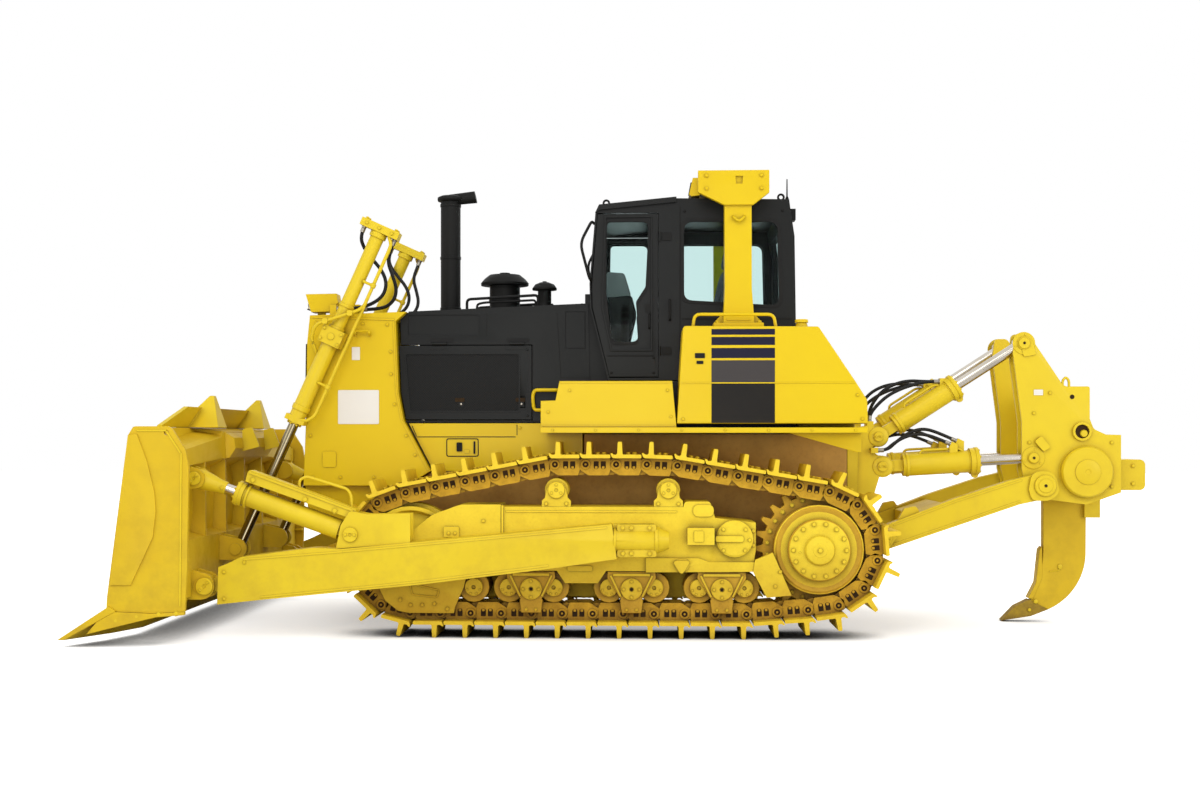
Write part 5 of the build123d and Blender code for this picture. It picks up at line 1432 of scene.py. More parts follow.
    def build(self) -> None:
        """Place everything on the guard, hood, doors and panels."""
        place(self.seams().both(), "housing_seams", SEAL, "tractor")
        cowl = prism(corners((0.42, 2.15, 0.004), (0.42, 2.965, 0.004),
                             (0.352, 2.965, 0.004), (0.168, 2.15, 0.004)), -0.59, 0.59)
        place(cowl, "hood_cowl", CHARCOAL, "tractor", Edge(0.004))
        place(self.guard().both(), "guard_fittings", YELLOW, "tractor", FITTING)
        place(
            self.panel().both(), "panel_fittings", YELLOW, "tractor", Edge(0.0015))
        place(self.tops(), "hood_fittings", STACK_BLACK, "tractor", THIN)
        y = self.hood_y
        screen = corners((1.012, 1.923), (1.988, 1.923), (2.032, 2.431), (1.012, 2.431))
        for side, label in SIDES:
            body = f"{label}_engine_door"
            place(self.door(side), f"door_fittings_{label}", CHARCOAL, body,
                  Edge(0.001))
            # Dark recesses of the door latches: painted shade.
            slots = Form()
            for x in (0.955, 1.5):
                slots.join(box_plate(x, x + 0.085, 2.004, 2.04, y - 0.004, y + 0.002, 0.006))
            place(slots.on(side), f"door_slots_{label}", PAINTED_HOLE_SHADE, body)
            mesh = prism(screen, y - 0.012, y - 0.007)
            dots = Form()
            for x in (0.988, 1.531):
                dots.join(lathe([(0.009, -0.002), (0.009, 0.003), (0.006, 0.004)],
                                (x, y - 0.002, 1.984), ACROSS, 14))
            place(mesh.on(side), f"door_screen_{label}", SCREEN, body)
            place(dots.on(side), f"door_locks_{label}", PIN_STEEL, body)
        g = self.guard_y
        signs = box_plate(2.255, 2.623, 1.805, 2.108, *over(g, 0.0035), 0.012)
        signs.join(box_plate(2.426, 2.498, 2.376, 2.492, *over(g, 0.003), 0.006))
        place(signs.both(), "blank_plates", LABEL_WHITE, "tractor", Edge(0.0008))
        step = rail(
            (0.66, 0.595, 2.107), (0.66, 0.65, 2.107), (0.872, 0.65, 2.107),
            (0.884, 0.65, 2.04), (0.872, 0.65, 1.929), (0.8, 0.65, 1.929),
            (0.8, 0.595, 1.929), radius=0.016, turn=0.03)
        place(step.both(), "step_rails", YELLOW, "tractor")
        lens = Form()
        rims = Form()
        for y0 in (0.5, -0.63):
            lens.join(bar(2.9, 2.908, y0 + 0.004, y0 + 0.126, 2.834, 2.946))
            for z in (2.832, 2.942):
                rims.join(bar(2.902, 2.916, y0, y0 + 0.13, z, z + 0.008))
        place(lens, "guard_lamp_lenses", LAMP_GLASS, "tractor", Edge(0.002))
        place(rims, "guard_lamp_rims", SEAL, "tractor", Edge(0.001))


# ---- cab and rollover bar
@dataclass
class Cab:
    """Seals, rails, roof trim and seat of the cab, and the rollover bar's fittings."""

    wall: float = 0.85
    post: float = 1.05
    side_window: tuple[Corner, ...] = (
        (-0.445, 2.877, 0.08), (-0.445, 3.575, 0.08), (-1.273, 3.571, 0.08),
        (-1.29, 2.826, 0.08))
    door_window: tuple[Corner, ...] = (
        (0.18, 2.51, 0.06), (0.24, 2.975, 0.06), (0.222, 3.58, 0.04),
        (-0.15, 3.58, 0.06), (-0.13, 3.0, 0.06), (-0.04, 2.86, 0.06),
        (-0.06, 2.51, 0.06))

    def seal(self, rows: tuple[Corner, ...], lip: float) -> Form:
        """Rubber lip round a window, wider than its opening by lip."""
        overlap = 0.012
        line = corners(*rows, steps=5)
        away = line - line.mean(axis=0)
        away /= np.linalg.norm(away, axis=1)[:, None]
        return window(
            line + away * lip, line - away * overlap, self.wall - 0.022, self.wall + 0.006)

    def shell_trim(self) -> tuple[Form, Form]:
        """Black rails, rain gutter, eyes and hinge leaves on both sides of the cab."""
        y = self.wall
        form = rail(
            (0.33, y - 0.02, 3.56), (0.352, y + 0.045, 3.572), (0.452, y + 0.045, 3.383),
            (0.372, y + 0.045, 3.075), (0.35, y - 0.02, 3.055), radius=0.013, turn=0.07)
        form.join(rail(
            (-0.33, y - 0.01, 2.885), (-0.33, y + 0.035, 2.885), (-0.33, y + 0.035, 2.711),
            (-0.33, y - 0.01, 2.711), radius=0.01, turn=0.02))
        for z in (2.44, 3.44):
            form.join(box_plate(-0.345, -0.262, z - 0.035, z + 0.035, *over(y, 0.008), 0.012))
        form.join(
            strip((-0.42, 2.23), (-0.42, 3.7), 0.01, *over(y, 0.003)),
            strip((-1.39, 2.72), (-0.44, 2.72), 0.012, *over(y, 0.005)))
        for x, z in ((-1.3, 3.757), (0.225, 3.716)):
            eye = lathe(
                [(0.034, -0.006), (0.034, 0.006), (0.016, 0.006), (0.016, -0.006),
                 (0.034, -0.006)], (x, y - 0.05, z + 0.026), ACROSS, 18)
            form.join(Form([eye.points[0]], [eye.faces[0]], eye.count))
        form.join(side_bolts(
            ((-0.46, 2.64), (-1.34, 2.64), (-0.46, 3.66), (-1.31, 3.66)), y, 0.01, 0.009))
        roof = rail((-1.345, -0.62, 3.752), (-1.345, -0.62, 3.975), radius=0.006, turn=0.01)
        lights = Form()
        for side in (-1, 1):
            lights.join(bar(-1.44, -1.372, side * 0.62 - 0.07, side * 0.62 + 0.07, 3.6, 3.7))
        return form.both(), roof.join(lights)

    def door_trim(self, side: float) -> Form:
        """Handle, lock plate, sill strip and bolts of one door."""
        y = self.wall
        form = rail(
            (-0.15, y - 0.005, 2.64), (-0.15, y + 0.03, 2.64), (-0.15, y + 0.03, 2.76),
            (-0.15, y - 0.005, 2.76), radius=0.009, turn=0.015)
        form.join(
            box_plate(-0.185, -0.115, 2.78, 2.85, *over(y, 0.01), 0.012),
            strip((-0.19, 2.4), (0.21, 2.4), 0.012, *over(y, 0.006)),
            side_bolts(((-0.19, 2.25), (0.18, 2.25), (-0.19, 2.38)), y, 0.009, 0.008))
        return form.on(side)

    def seat(self) -> None:
        """Seat cushion and back: crowned closed forms with a sewn roll round them.

        A crowned form's half thickness is h (1 - |u|^4)^(1/3) (1 - |v|^4)^(1/3), with u and
        v from -1 to 1 across it, so its sides pull in between its corners.
        """
        cells = 32
        grid = np.linspace(-1, 1, cells + 1)
        u, v = [g.ravel() for g in np.meshgrid(grid, grid)]
        full = ((1 - u ** 4) * (1 - v ** 4)) ** (1 / 3)
        seam = 0.01 * np.exp(-((np.abs(u) - 0.56) / 0.05) ** 2)
        pull = 1 - 0.03 * (1 - u ** 2) * v ** 2 - 0.03 * (1 - v ** 2) * u ** 2
        quads = loop_quads(cells + 1, cells + 1, closed=False)
        for name, centre, along, half, thick in (
                ("seat_cushion", (-0.54, 0.0, 2.628), (1.0, 0.0, 0.06), (0.245, 0.235), 0.066),
                ("seat_back", (-0.805, 0.0, 2.96), (-0.2, 0.0, 1.0), (0.262, 0.225), 0.056),
                ("head_rest", (-0.868, 0.0, 3.33), (-0.2, 0.0, 1.0), (0.085, 0.13), 0.045)):
            w = np.array(along) / np.linalg.norm(along)
            across = np.array([0.0, 1.0, 0.0])
            normal = np.cross(w, across)
            height = full * thick - seam * full
            flat = (np.array(centre) + (u * pull * half[0])[:, None] * w
                    + (v * pull * half[1])[:, None] * across)
            points = np.concatenate([
                flat + height[:, None] * normal, flat - full[:, None] * thick * 0.8 * normal])
            form = Form().add(points, quads, quads[:, ::-1] + len(u))
            obj = place(form, name, CLOTH, "tractor", Edge(0.0, 75.0))
            weld = obj.modifiers.new("weld", "WELD")
            weld.merge_threshold = 0.0005
            if name == "seat_cushion":
                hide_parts("operator_seat")
        base = bar(-0.74, -0.38, -0.18, 0.18, 2.246, 2.572)
        base.join(bar(-0.8, -0.33, -0.205, 0.205, 2.545, 2.578))
        for y in (-0.275, 0.275):
            base.join(
                bar(-0.76, -0.48, y - 0.035, y + 0.035, 2.79, 2.84),
                bar(-0.76, -0.715, y - 0.02, y + 0.02, 2.56, 2.8))
        base.join(bar(-0.9, -0.86, -0.05, 0.05, 3.19, 3.3))
        place(base, "seat_base", PLASTIC, "tractor", Edge(0.012))

    def controls(self) -> None:
        """Levers with their grips on the consoles, and the dash with its hood."""
        form = Form()
        for y in (-0.42, 0.42):
            form.join(
                rail((-0.26, y, 2.74), (-0.25, y, 2.85), (-0.215, y, 2.92), radius=0.01,
                    turn=0.04),
                lathe([(0.014, -0.01), (0.026, 0.01), (0.03, 0.06), (0.022, 0.1), (0.01, 0.11)],
                    (-0.222, y, 2.9), (0.35, 0, 0.94), 16))
        desk = corners((0.215, 2.957, 0.02), (0.19, 2.4, 0.02), (0.06, 2.4, 0.02),
                       (-0.036, 2.823, 0.05), (0.004, 2.976, 0.03))
        place(prism(desk, -0.3, 0.3), "dash_body", STACK_BLACK, "tractor",
              Edge(0.01))
        form.join(bar(-0.86, -0.56, 0.395, 0.455, 2.755, 2.8))
        place(form, "cab_controls", PLASTIC, "tractor", Edge(0.006))
        hood = prism(corners((0.235, 3.197, 0.03), (0.235, 2.957, 0.02), (0.01, 2.976, 0.02),
                             (0.072, 3.184, 0.04)), -0.28, 0.28)
        place(hood, "dash_hood", DASH_GREY, "tractor", Edge(0.012))

    def bar_fittings(self) -> None:
        """Lamps, eye, tie-down ring, foot bolts and end-plate bolts of the rollover bar."""
        whip = lathe(
            [(0.016, -0.02), (0.016, 0.03), (0.007, 0.05), (0.005, 0.2)], (-1.372, 0.6, 3.775),
            UP, 10)
        place(whip, "antenna", STACK_BLACK, "tractor")
        y = self.post
        form = rail(
            (-0.87, y - 0.005, 3.585), (-0.87, y + 0.03, 3.575), (-0.917, y + 0.034, 3.535),
            (-0.964, y + 0.03, 3.575), (-0.964, y - 0.005, 3.585), radius=0.011, turn=0.03)
        form.join(
            side_bolts(((-0.64, 3.93), (-1.11, 3.93), (-0.64, 3.82), (-1.11, 3.82)), 1.08,
                0.015, 0.014),
            bolts(np.array([(x, b, 2.668) for x in (-1.095, -0.735) for b in (0.915, 1.05)]), UP,
                0.018, 0.018),
            strip((-1.02, 2.7), (-0.812, 2.7), 0.014, *over(y, 0.006)))
        place(form.both(), "rollover_fittings", YELLOW, "tractor", FITTING)
        lens, rims = Form(), Form()
        for side in (-1, 1):
            for offset in (-0.055, 0.055):
                middle = side * 0.75 + offset
                lens.join(lathe([(0.044, -0.012), (0.044, 0.0), (0.03, 0.005)],
                                (-0.508, middle, 3.868), (1, 0, 0.18), 20))
                rims.join(lathe([(0.052, -0.02), (0.052, 0.004), (0.045, 0.006)],
                                (-0.509, middle, 3.868), (1, 0, 0.18), 20))
        place(lens, "rollover_lamp_lenses", LAMP_GLASS, "tractor")
        place(rims, "rollover_lamp_rims", SEAL, "tractor")

    def build(self) -> None:
        """Place the cab's and rollover bar's fittings."""
        trim, roof = self.shell_trim()
        place(trim, "cab_trim", STACK_BLACK, "tractor", THIN)
        place(roof, "cab_roof_fittings", STACK_BLACK, "tractor", Edge(0.002))
        place(self.seal(self.side_window, 0.024).both(), "side_window_seals", SEAL, "tractor",
              Edge(0.002))
        for side, label in SIDES:
            lip = self.seal(self.door_window, 0.016)
            place(lip.on(side), f"door_seal_{label}", SEAL, f"{label}_cab_door",
                  Edge(0.002))
            place(self.door_trim(side), f"cab_door_fittings_{label}", STACK_BLACK,
                  f"{label}_cab_door", Edge(0.001))
        self.seat()
        self.controls()
        self.bar_fittings()


# ---- tanks and fenders
@dataclass
class Tanks:
    """Stripes, blocks, rails and seams of the side tanks and fender boxes."""

    side: float = 1.4
    crease: float = 2.141

    def band(self, x0: float, x1: float, z0: float, z1: float) -> Form:
        """Thin painted plate on the tank's side."""
        return prism(np.array([(x0, z0), (x1, z0), (x1, z1), (x0, z1)]), *over(self.side, 0.0016))

    def build(self) -> None:
        """Place bands, blocks, seams, rails and caps."""
        x0, x1 = -1.196, -0.668
        navy = Form().join(*[self.band(x0, x1, low, high) for low, high in
                             ((2.544, 2.592), (2.458, 2.525), (2.349, 2.433))])
        for form, name, finish in (
                (navy, "navy_stripes", NAVY),
                (self.band(x0, x1, 2.142, 2.33), "grey_block", BLOCK_GREY),
                (self.band(x0, x1, 1.806, 2.14), "dark_block", BLOCK_BLACK)):
            place(form.both(), name, finish, "tractor")
        skin = over(self.side, 0.004)
        seams = box_plate(-0.613, -0.53, 2.349, 2.391, *skin)
        seams.join(box_plate(-0.6, -0.543, 2.3, 2.326, *skin))
        place(seams.both(), "tank_seams", SEAL, "tractor")
        form = rail((-0.516, 1.3, 2.61), (-0.53, 1.3, 2.724), (-1.195, 1.3, 2.721),
                    (-1.213, 1.3, 2.608), radius=0.014, turn=0.05)
        form.join(cap((-1.44, 1.18, 2.66), 0.056, 0.026, axis=UP))
        for x0, x1, z, width in ((-0.4, -1.866, self.crease, 0.01),
                                 (0.6, -0.33, 2.148, 0.014), (0.752, -0.36, 1.785, 0.012)):
            form.join(strip((x0, z), (x1, z), width, *skin))
        form.join(
            side_bolts(((0.7, 1.9), (0.52, 2.08), (-0.3, 2.08), (-0.33, 1.86)),
                self.side, 0.011, 0.01),
            side_bolts(((-0.43, 1.84), (-1.92, 1.84), (-1.88, 2.04)), self.side, 0.012,
                0.011))
        fender_edge = 1.435
        form.join(side_bolts(
            [(x, 1.746) for x in np.linspace(0.66, -1.86, 8)], fender_edge, 0.009, 0.008))
        place(form.both(), "tank_fittings", YELLOW, "tractor", FITTING)


# ---- blade and its cylinders
@dataclass
class Slide:
    """Cylinder axis: point(s, q) = foot + s u + q p, with p square to u in the side plane."""

    foot: Spot
    pin: Spot
    y: float

    def axis(self) -> Point:
        """Unit direction from foot to pin."""
        u = np.array(self.pin) - np.array(self.foot)
        u = u / np.linalg.norm(u)
        return (float(u[0]), 0.0, float(u[1]))

    def at(self, s: float, q: float = 0.0, out: float = 0.0) -> Point:
        """Point s along the axis, q beside it and out from its plane."""
        ux, _, uz = self.axis()
        return (self.foot[0] + s * ux - q * uz, self.y + out, self.foot[1] + s * uz + q * ux)

    def collar(self, s: float, radius: float, length: float) -> Form:
        """Raised band round the cylinder."""
        return lathe(
            [(radius - 0.005, -length / 2), (radius, -length / 2 + 0.005),
             (radius, length / 2 - 0.005), (radius - 0.005, length / 2)], self.at(s), self.axis(),
            28)

    def gland(self, s: float, radius: float, heads: int = 8) -> Form:
        """Gland flange with a ring of bolts facing the rod."""
        form = self.collar(s, radius, 0.036)
        ring = circle_of(self.at(s + 0.016), radius * 0.82, heads, self.axis(), 22.5)
        return form.join(bolts(ring, self.axis(), 0.011, 0.012))

    def tube(self, stops: tuple[Spot, ...], out: float, radius: float = 0.014) -> Form:
        """Steel pipe through (s, q) points beside the barrel."""
        return rail(*[self.at(s, q, out) for s, q in stops], radius=radius, turn=0.06)


@dataclass
class Blade:
    """Fittings of the lift and pitch cylinders, push arms and blade."""

    lift: Slide = field(default_factory=lambda: Slide((2.65, 2.575), (3.496, 0.7), 0.79))
    pitch: Slide = field(default_factory=lambda: Slide((2.32, 0.882), (3.624, 1.345), 1.61))
    arm_y: float = 1.61
    end_y: float = 2.15

    def lift_cylinder(self) -> Form:
        """Head bolts, bands, gland flange, side pipe with clamps and the diagonal pipe."""
        c = self.lift
        form = Form()
        for q in (-0.14, 0.14):
            for out in (-0.045, 0.045):
                form.join(bolts(
                    np.array([c.at(-1.078, q, out)]), tuple(-a for a in c.axis()), 0.017, 0.018))
        form.join(
            bolts(np.array([c.at(-1.045, q, 0.075) for q in (-0.12, 0.0, 0.12)]), ACROSS, 0.014,
                0.012),
            c.collar(-0.985, 0.076, 0.05),
            c.collar(0.69, 0.08, 0.05),
            c.gland(0.822, 0.066, 6),
            c.collar(-0.3, 0.069, 0.03),
            c.tube(((-1.012, -0.1), (-0.96, -0.148), (-0.9, -0.152), (0.7, -0.152),
                    (0.77, -0.105), (0.785, -0.055)), 0.052, 0.016))
        for s in (-0.56, 0.42):
            form.join(
                lathe([(0.022, -0.02), (0.025, -0.016), (0.025, 0.016), (0.022, 0.02)],
                    c.at(s, -0.152, 0.052), c.axis(), 16),
                pipe(np.array([c.at(s, -0.05, 0.045), c.at(s, -0.1, 0.05),
                               c.at(s, -0.14, 0.052)]), 0.013, 8, (0.1, 0.2, 0.97)))
        form.join(rail((2.36, 0.81, 2.86), (2.398, 0.888, 2.805), (2.786, 0.888, 2.682),
                       (2.83, 0.85, 2.56), (2.795, 0.8, 2.44), radius=0.015, turn=0.05))
        for x, z in ((2.48, 2.779), (2.7, 2.709)):
            form.join(box_plate(x - 0.024, x + 0.024, z - 0.024, z + 0.024, 0.866, 0.908, 0.01))
        return form

    def yoke(self) -> Form:
        """Cap bolts and keeper plates on a lift yoke."""
        c = self.lift
        form = bolts(
            np.array([c.at(s, q, 0.088) for s in (-0.048, 0.048) for q in (-0.082, 0.082)]),
            ACROSS, 0.014, 0.013)
        return form.join(lathe(
            [(0.03, -0.002), (0.03, 0.01), (0.02, 0.012)], c.at(0.0, 0.0, 0.088), ACROSS, 18))

    def pitch_cylinder(self) -> Form:
        """Gland, collar, cover bolts and weld line, and grab handle of a pitch cylinder."""
        c = self.pitch
        form = Form().join(c.gland(1.012, 0.106, 8), c.collar(0.93, 0.103, 0.02))
        form.join(
            side_bolts(((3.139, 1.332), (2.701, 1.172), (2.453, 1.078), (2.3, 1.012)), 1.68,
                0.02, 0.014),
            strip((3.17, 1.395), (2.3, 1.078), 0.018, 1.678, 1.69),
            rail((2.768, 1.6, 1.262), (2.768, 1.6, 1.33), (2.709, 1.6, 1.36),
                (2.362, 1.6, 1.255), (2.33, 1.6, 1.195), (2.33, 1.6, 1.105), radius=0.013,
                turn=0.035))
        return form

    def rod_fork(self) -> Form:
        """Flared fork between a pitch rod and its pin on the blade."""
        c = self.pitch
        form = lathe([(0.05, -0.262), (0.056, -0.255), (0.058, -0.2), (0.076, -0.11),
                      (0.086, -0.03), (0.08, 0.01)], c.at(1.384, 0.0), c.axis(), 28)
        return form.join(bolts(np.array([c.at(1.15, 0.0, 0.052)]), ACROSS, 0.016, 0.014))

    def arm(self) -> Form:
        """Ear pins, blade-foot keeper and weld lines of a push arm."""
        y = self.arm_y
        form = cap((2.32, y + 0.095, 0.882), 0.062, 0.022, 2, 0.6, 0.012)
        form.join(cap((3.535, y + 0.06, 0.452), 0.05, 0.004))
        beam = 1.72
        welds = (((0.2, 0.946), (1.29, 0.842), (2.38, 0.742), (3.21, 0.674)),
                 ((0.68, 0.634), (1.745, 0.498), (3.068, 0.364)))
        form.join(
            strips(welds, 0.016, *over(beam, 0.005)),
            side_bolts(((3.37, 0.57), (3.37, 0.35), (3.2, 0.65)), beam, 0.014, 0.013))
        return form

    def board(self) -> Form:
        """Pin keepers, end-plate doublers and gussets of the blade, on the left."""
        form = Form()
        for x, z, out, radius in ((3.535, 0.452, 0.122, 0.072), (3.624, 1.345, 0.11, 0.056)):
            form.join(cap((x, self.arm_y + out, z), radius, 0.016, 2, 0.62, 0.011, 45.0))
        y = self.end_y
        doublers = (((3.6, 1.56), (3.61, 0.33)), ((3.72, 1.74), (3.96, 1.74)),
                    ((3.605, 1.56), (3.72, 1.735)))
        form.join(
            strips(doublers, 0.014, *over(y, 0.006)),
            side_bolts(((3.64, 0.275), (3.78, 0.268), (3.96, 0.25), (4.13, 0.215)), y, 0.018,
                0.016))
        for z in (1.1, 0.7):
            form.join(bar(3.56, 3.83, 2.06, 2.112, z - 0.012, z + 0.012))
        lug = prism(corners((3.4, 1.6, 0.02), (3.56, 1.56, 0.0), (3.56, 1.76, 0.02),
                            (3.47, 1.78, 0.02)), 0.385, 0.415)
        return form.join(lug)

    def edge_bolts(self) -> Form:
        """Bolts in a row along the cutting edge, which sweeps forward at its ends."""
        count, height, middle, wing, swept = 22, 0.255, 1.1, 0.64, 0.118
        y = np.linspace(-1.62, 1.62, count)
        x = 4.085 + swept * np.clip((np.abs(y) - middle) / wing, 0, 1)
        return bolts(
            np.column_stack([x, y, np.full(count, height)]), (0.74, 0.0, 0.68), 0.016, 0.01)

    def build(self) -> None:
        """Place the fittings of every body."""
        for form, name, body in (
                (self.lift_cylinder(), "lift_cylinder_fittings", "lift_cylinders"),
                (self.yoke(), "lift_yoke_fittings", "lift_cylinders"),
                (self.rod_fork(), "pitch_rod_forks", "pitch_rods"),
                (self.pitch_cylinder(), "pitch_cylinder_fittings", "pitch_cylinders"),
                (self.arm(), "push_arm_fittings", "push_arms"),
                (self.board(), "blade_fittings", "blade")):
            place(form.both(), name, YELLOW_WORK, body, FITTING)
        place(self.edge_bolts(), "edge_bolts", EDGE_STEEL, "blade")


# ---- ripper
@dataclass
class Ripper:
    """Fittings of the ripper's cylinders, frame, arms and shank."""

    raise_axis: Slide = field(default_factory=lambda: Slide(
        (-2.228, 1.426), (-3.556, 1.504), 0.4))
    tilt_axis: Slide = field(default_factory=lambda: Slide(
        (-2.192, 1.691), (-3.472, 2.522), 0.4))
    frame_y: float = 0.488
    arm_y: float = 0.65

    def cylinder(self, c: Slide, radius: float, stop: float) -> Form:
        """Gland, bands and side pipe of one cylinder."""
        form = Form().join(
            c.gland(stop - 0.01, radius * 1.24), c.collar(stop - 0.075, radius * 1.06, 0.02),
            c.collar(0.23, radius * 1.07, 0.03))
        ear = c.at(stop - 0.03, radius * 1.2)
        form.join(lathe([(0.03, -0.02), (0.03, 0.02)], ear, ACROSS, 16))
        return form.join(c.tube(
            ((0.33, -0.06), (0.36, -radius - 0.022), (stop - 0.16, -radius - 0.022),
             (stop - 0.1, -0.07)), 0.02, 0.012))

    def plates(self) -> Form:
        """Pin caps, keeper plates, weld lines and eye of the frame's side plates."""
        y = self.frame_y
        form = Form()
        for (x, z), radius in (((-3.472, 2.522), 0.05), ((-3.556, 1.504), 0.046)):
            form.join(
                cap((x, y + 0.014, z), radius, 0.014),
                bolts(circle_of((x, y, z), 0.078, 3, ACROSS, 80.0), ACROSS, 0.011, 0.01),
                lathe([(0.098, -0.004), (0.1, 0.004), (0.096, 0.007)], (x, y, z), ACROSS, 28))
        form.join(
            cap((-4.016, 0.55, 1.379), 0.11, 0.01),
            lathe([(0.232, -0.004), (0.238, 0.0), (0.232, 0.008)], (-4.016, y, 1.379), ACROSS, 36),
            rail((-3.815, 0.474, 2.12), (-3.815, 0.474, 2.19), (-3.843, 0.474, 2.222),
                (-3.871, 0.474, 2.19), (-3.871, 0.474, 2.12), radius=0.012, turn=0.02),
            side_bolts(((-3.7, 2.08), (-3.56, 1.9), (-3.52, 1.64), (-4.24, 1.25),
                        (-4.24, 1.64)), y, 0.014, 0.013))
        keep = corners((-3.64, 1.56, 0.02), (-3.56, 1.65, 0.02), (-3.62, 1.7, 0.02),
                       (-3.7, 1.6, 0.02))
        form.join(
            prism(keep, *over(y, 0.03)),
            prism(corners((-3.47, 2.4, 0.02), (-3.43, 2.56, 0.04), (-3.54, 2.56, 0.04),
                          (-3.58, 2.42, 0.02)), *over(y, 0.012)),
            bar(-4.257, -4.117, 0.001, 0.09, 0.955, 1.18))
        for z in (1.27, 1.43):
            form.join(bolts(
                np.array([(-4.5, 0.25, z), (-4.36, 0.25, z)]), ACROSS, 0.016, 0.014))
        return form

    def arms(self) -> Form:
        """Pin bosses with keeper bolts, top lugs and weld lines of the lower arms."""
        y = self.arm_y
        form = Form()
        keeper = corners(
            (-3.5, 1.13, 0.06), (-3.47, 1.23, 0.06), (-3.5, 1.39, 0.1),
            (-3.7, 1.39, 0.12), (-3.74, 1.19, 0.12), (-3.64, 1.13, 0.08), steps=5)
        form.join(
            prism(keeper, y - 0.004, y + 0.022),
            lathe([(0.094, 0.02), (0.094, 0.034), (0.086, 0.04), (0.062, 0.04), (0.06, 0.046),
                   (0.012, 0.046)], (-3.613, y, 1.262), ACROSS, 32),
            lathe([(0.088, -0.004), (0.088, 0.008), (0.08, 0.014), (0.04, 0.014)],
                (-2.2, y, 0.805), ACROSS, 28))
        welds = (((-2.3, 0.912), (-2.833, 1.12), (-3.42, 1.312)),
                 ((-2.3, 0.745), (-2.833, 0.93), (-3.4, 1.126)))
        form.join(strips(welds, 0.014, *over(y, 0.005)))
        lug = prism(corners((-2.34, 0.95, 0.0), (-2.4, 1.06, 0.02), (-2.5, 1.08, 0.02),
                            (-2.54, 1.02, 0.0)), y - 0.06, y - 0.03)
        form.join(lug, lug.moved(y=-0.04))
        return form

    def bracket(self) -> Form:
        """Pin caps and clamp of the rear bracket."""
        form = Form()
        for (x, z), radius in (((-2.228, 1.426), 0.045), ((-2.192, 1.691), 0.042)):
            form.join(
                cap((x, 0.506, z), radius, 0.012, 2, 0.55, 0.009),
                lathe([(0.086, -0.002), (0.086, 0.006), (0.08, 0.009)], (x, 0.49, z), ACROSS,
                    28))
        form.join(
            cap((-2.2, 0.698, 0.805), 0.08, 0.016, 3, 0.66, 0.013),
            side_bolts(((-2.0, 0.76), (-2.0, 0.93), (-2.09, 0.73)), 0.698, 0.015, 0.014))
        return form

    def shank_parts(self) -> Form:
        """Pins and bolts through the shank, its protector and its tip."""
        form = Form()
        for x, z, radius, y in ((-3.906, 0.504, 0.022, 0.045),
                                (-3.684, 0.185, 0.02, 0.056),
                                (-3.628, 0.109, 0.016, 0.056)):
            form.join(lathe(
                [(radius, -0.012), (radius, 0.01), (radius * 0.7, 0.013)], (x, y, z), ACROSS, 16))
        form.join(rail((-3.813, 0.046, 0.459), (-3.898, 0.046, 0.467),
                       (-3.906, 0.046, 0.504), radius=0.007, turn=0.01))
        return form

    def build(self) -> None:
        """Place the fittings of every body, the pin pullers, dark discs painted as the shade of
        holes, and blank plates.
        """
        raise_c = self.cylinder(self.raise_axis, 0.1, 0.855)
        tilt_c = self.cylinder(self.tilt_axis, 0.095, 0.83)
        for form, name, body in (
                (raise_c, "ripper_lift_fittings", "ripper_lift_cylinders"),
                (tilt_c, "ripper_tilt_fittings", "ripper_tilt_cylinders"),
                (self.plates(), "ripper_frame_fittings", "ripper"),
                (self.arms(), "ripper_arm_fittings", "ripper_linkage"),
                (self.bracket(), "rear_bracket_fittings", "tractor"),
                (self.shank_parts(), "shank_fittings", "ripper")):
            place(form.both(), name, YELLOW_WORK, body, FITTING)
        pin = lathe(
            [(0.034, -0.05), (0.034, 0.06), (0.028, 0.068), (0.01, 0.068)],
            (-3.996, 0.44, 1.72), ACROSS, 20)
        place(pin.both(), "pin_puller", YELLOW_WORK, "ripper")
        # Dark discs at the pin bores: painted shade.
        hole_shade = lathe([(0.06, 0.0), (0.06, 0.004)], (-3.979, 0.482, 1.738), ACROSS, 24)
        dots = Form()
        for x, y, z, radius in ((-3.472, 0.517, 2.522, 0.012), (-3.556, 0.517, 1.504, 0.012),
                                (-3.895, 0.4885, 2.045, 0.02)):
            dots.join(lathe([(radius, 0.0), (radius, 0.002)], (x, y, z), ACROSS, 14))
        place(hole_shade.join(dots).both(), "ripper_holes", PAINTED_HOLE_SHADE, "ripper")
        # Dark disc at the arm's pin bore: painted shade.
        dot = lathe([(0.014, 0.0), (0.014, 0.002)], (-3.613, 0.696, 1.262), ACROSS, 14)
        place(dot.both(), "ripper_arm_holes", PAINTED_HOLE_SHADE, "ripper_linkage")
        label = box_plate(-3.64, -3.56, 2.06, 2.11, 0.486, 0.491, 0.004)
        place(label.both(), "ripper_blank_plates", LABEL_WHITE, "ripper")


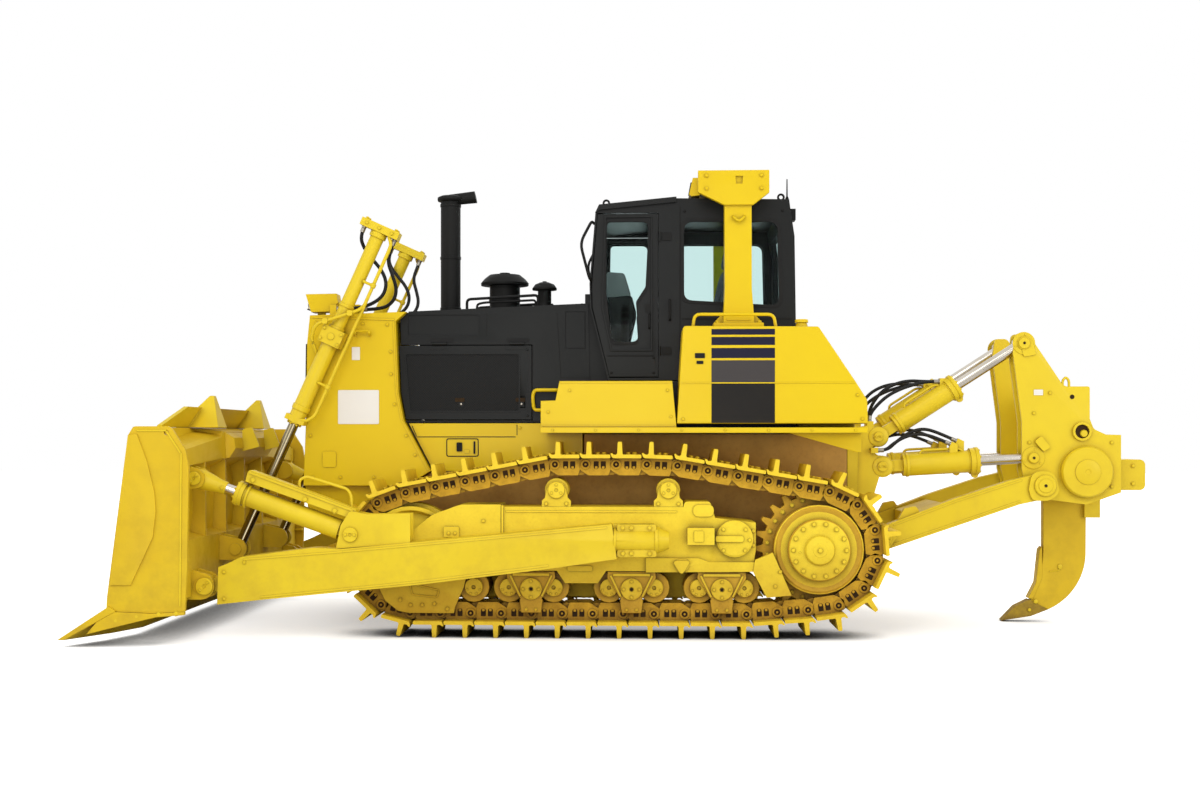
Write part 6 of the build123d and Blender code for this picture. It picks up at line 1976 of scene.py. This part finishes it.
# ---- finishes of CAD nodes
@dataclass
class Bodywork:
    """Finish of every CAD node that keeps its shape."""

    rows: tuple[tuple[str, Finish, str, float], ...] = (
        # Main frame in the painted shade colour of the hull.
        ("main_frame", HULL_PAINTED_SHADE, "yellow_paint", 0.01),
        ("radiator_guard", YELLOW, "yellow_paint", 0.01),
        ("radiator_grille", CHARCOAL, "dark_paint", 0.003),
        ("engine", ENGINE_GREY, "engine_iron", 0.01),
        ("hood", CHARCOAL, "dark_paint", 0.012),
        ("exhaust_stack", STACK_BLACK, "dark_paint", 0.006),
        ("air_cleaners", STACK_BLACK, "dark_paint", 0.006),
        ("cab_shell", CHARCOAL, "dark_paint", 0.012),
        ("cab_deck", CHARCOAL, "dark_paint", 0.006),
        ("cab_consoles", PLASTIC, "console_plastic", 0.015),
        ("rollover_beam", YELLOW, "yellow_paint", 0.01),
        ("rear_fuel_tank", YELLOW, "yellow_paint", 0.012),
        ("rear_bracket", YELLOW_WORK, "yellow_paint", 0.006),
        ("moldboard", YELLOW_BLADE, "yellow_paint", 0.006),
        ("cutting_edge", YELLOW_BLADE, "yellow_paint", 0.005),
        ("spill_guard", YELLOW_WORK, "yellow_paint", 0.005),
        ("ripper_cross_tube", YELLOW_WORK, "yellow_paint", 0.012),
        ("ripper_frame", YELLOW_WORK, "yellow_paint", 0.008),
        ("ripper_shank", YELLOW_BLADE, "yellow_paint", 0.01),
        ("shank_tip", EDGE_STEEL, "bare_steel", 0.006),
        ("sprockets", DRUM_PAINT, "track_iron", 0.004),
        ("final_drives", DRUM_PAINT, "yellow_paint", 0.008),
        ("idlers", FRAME_PAINT, "yellow_paint", 0.008),
        ("track_rollers", DRUM_PAINT, "yellow_paint", 0.006),
        ("carrier_rollers", FRAME_PAINT, "yellow_paint", 0.006),
        ("side_panels", YELLOW, "yellow_paint", 0.004),
        ("lift_yokes", YELLOW_WORK, "yellow_paint", 0.008),
        ("lift_cylinder_barrels", YELLOW_WORK, "yellow_paint", 0.004),
        # Lift rods in chrome with a painted gold reflection and shade.
        ("lift_cylinder_rods", CHROME_PAINTED_REFLECTION, "chrome", 0.003),
        ("pitch_cylinder_barrels", YELLOW_WORK, "yellow_paint", 0.004),
        ("pitch_cylinder_rods", CHROME, "chrome", 0.003),
        ("ripper_lift_barrels", YELLOW_WORK, "yellow_paint", 0.004),
        ("ripper_lift_rods", CHROME, "chrome", 0.003),
        ("ripper_tilt_barrels", YELLOW_WORK, "yellow_paint", 0.004),
        ("ripper_tilt_rods", CHROME, "chrome", 0.003),
        ("ripper_pins", PIN_STEEL, "bare_steel", 0.004),
        ("ripper_arms", YELLOW_WORK, "yellow_paint", 0.01),
        ("blade_end_plates", YELLOW_BLADE, "yellow_paint", 0.006),
    )
    pairs: tuple[tuple[str, Finish, str, float], ...] = (
        ("track_frame", FRAME_PAINT, "yellow_paint", 0.01),
        ("fender", YELLOW, "yellow_paint", 0.01),
        ("side_tank", YELLOW, "yellow_paint", 0.014),
        ("engine_door", CHARCOAL, "dark_paint", 0.008),
        ("cab_door", CHARCOAL, "dark_paint", 0.008),
        ("push_arm", YELLOW_WORK, "yellow_paint", 0.01),
        ("rollover_post", YELLOW, "yellow_paint", 0.008),
    )

    def build(self) -> None:
        """Soften every node in the tables and glaze the panes."""
        names = frame["nodes"]
        rows = list(self.rows) + [
            (f"{name}_{side}", finish, slot, bevel) for name, finish, slot, bevel in self.pairs
            for side in ("left", "right")]
        for name, finish, slot, bevel in rows:
            if name in names:
                soften(name, finish, bevel)
        for name in ("cab_glass", "door_glass_left", "door_glass_right"):
            dress(name, GLASS)


def main() -> None:
    """Build the studio and every sub-assembly in order."""
    logging.basicConfig(level=logging.INFO, format="%(message)s")
    Studio().build()
    for part in (Hoses(), Tracks(), Bodywork(), Undercarriage(), Housing(), Cab(),
                 Tanks(), Blade(), Ripper()):
        part.build()
        LOG.info("built %s", type(part).__name__)


if __name__ == "__main__":
    main()
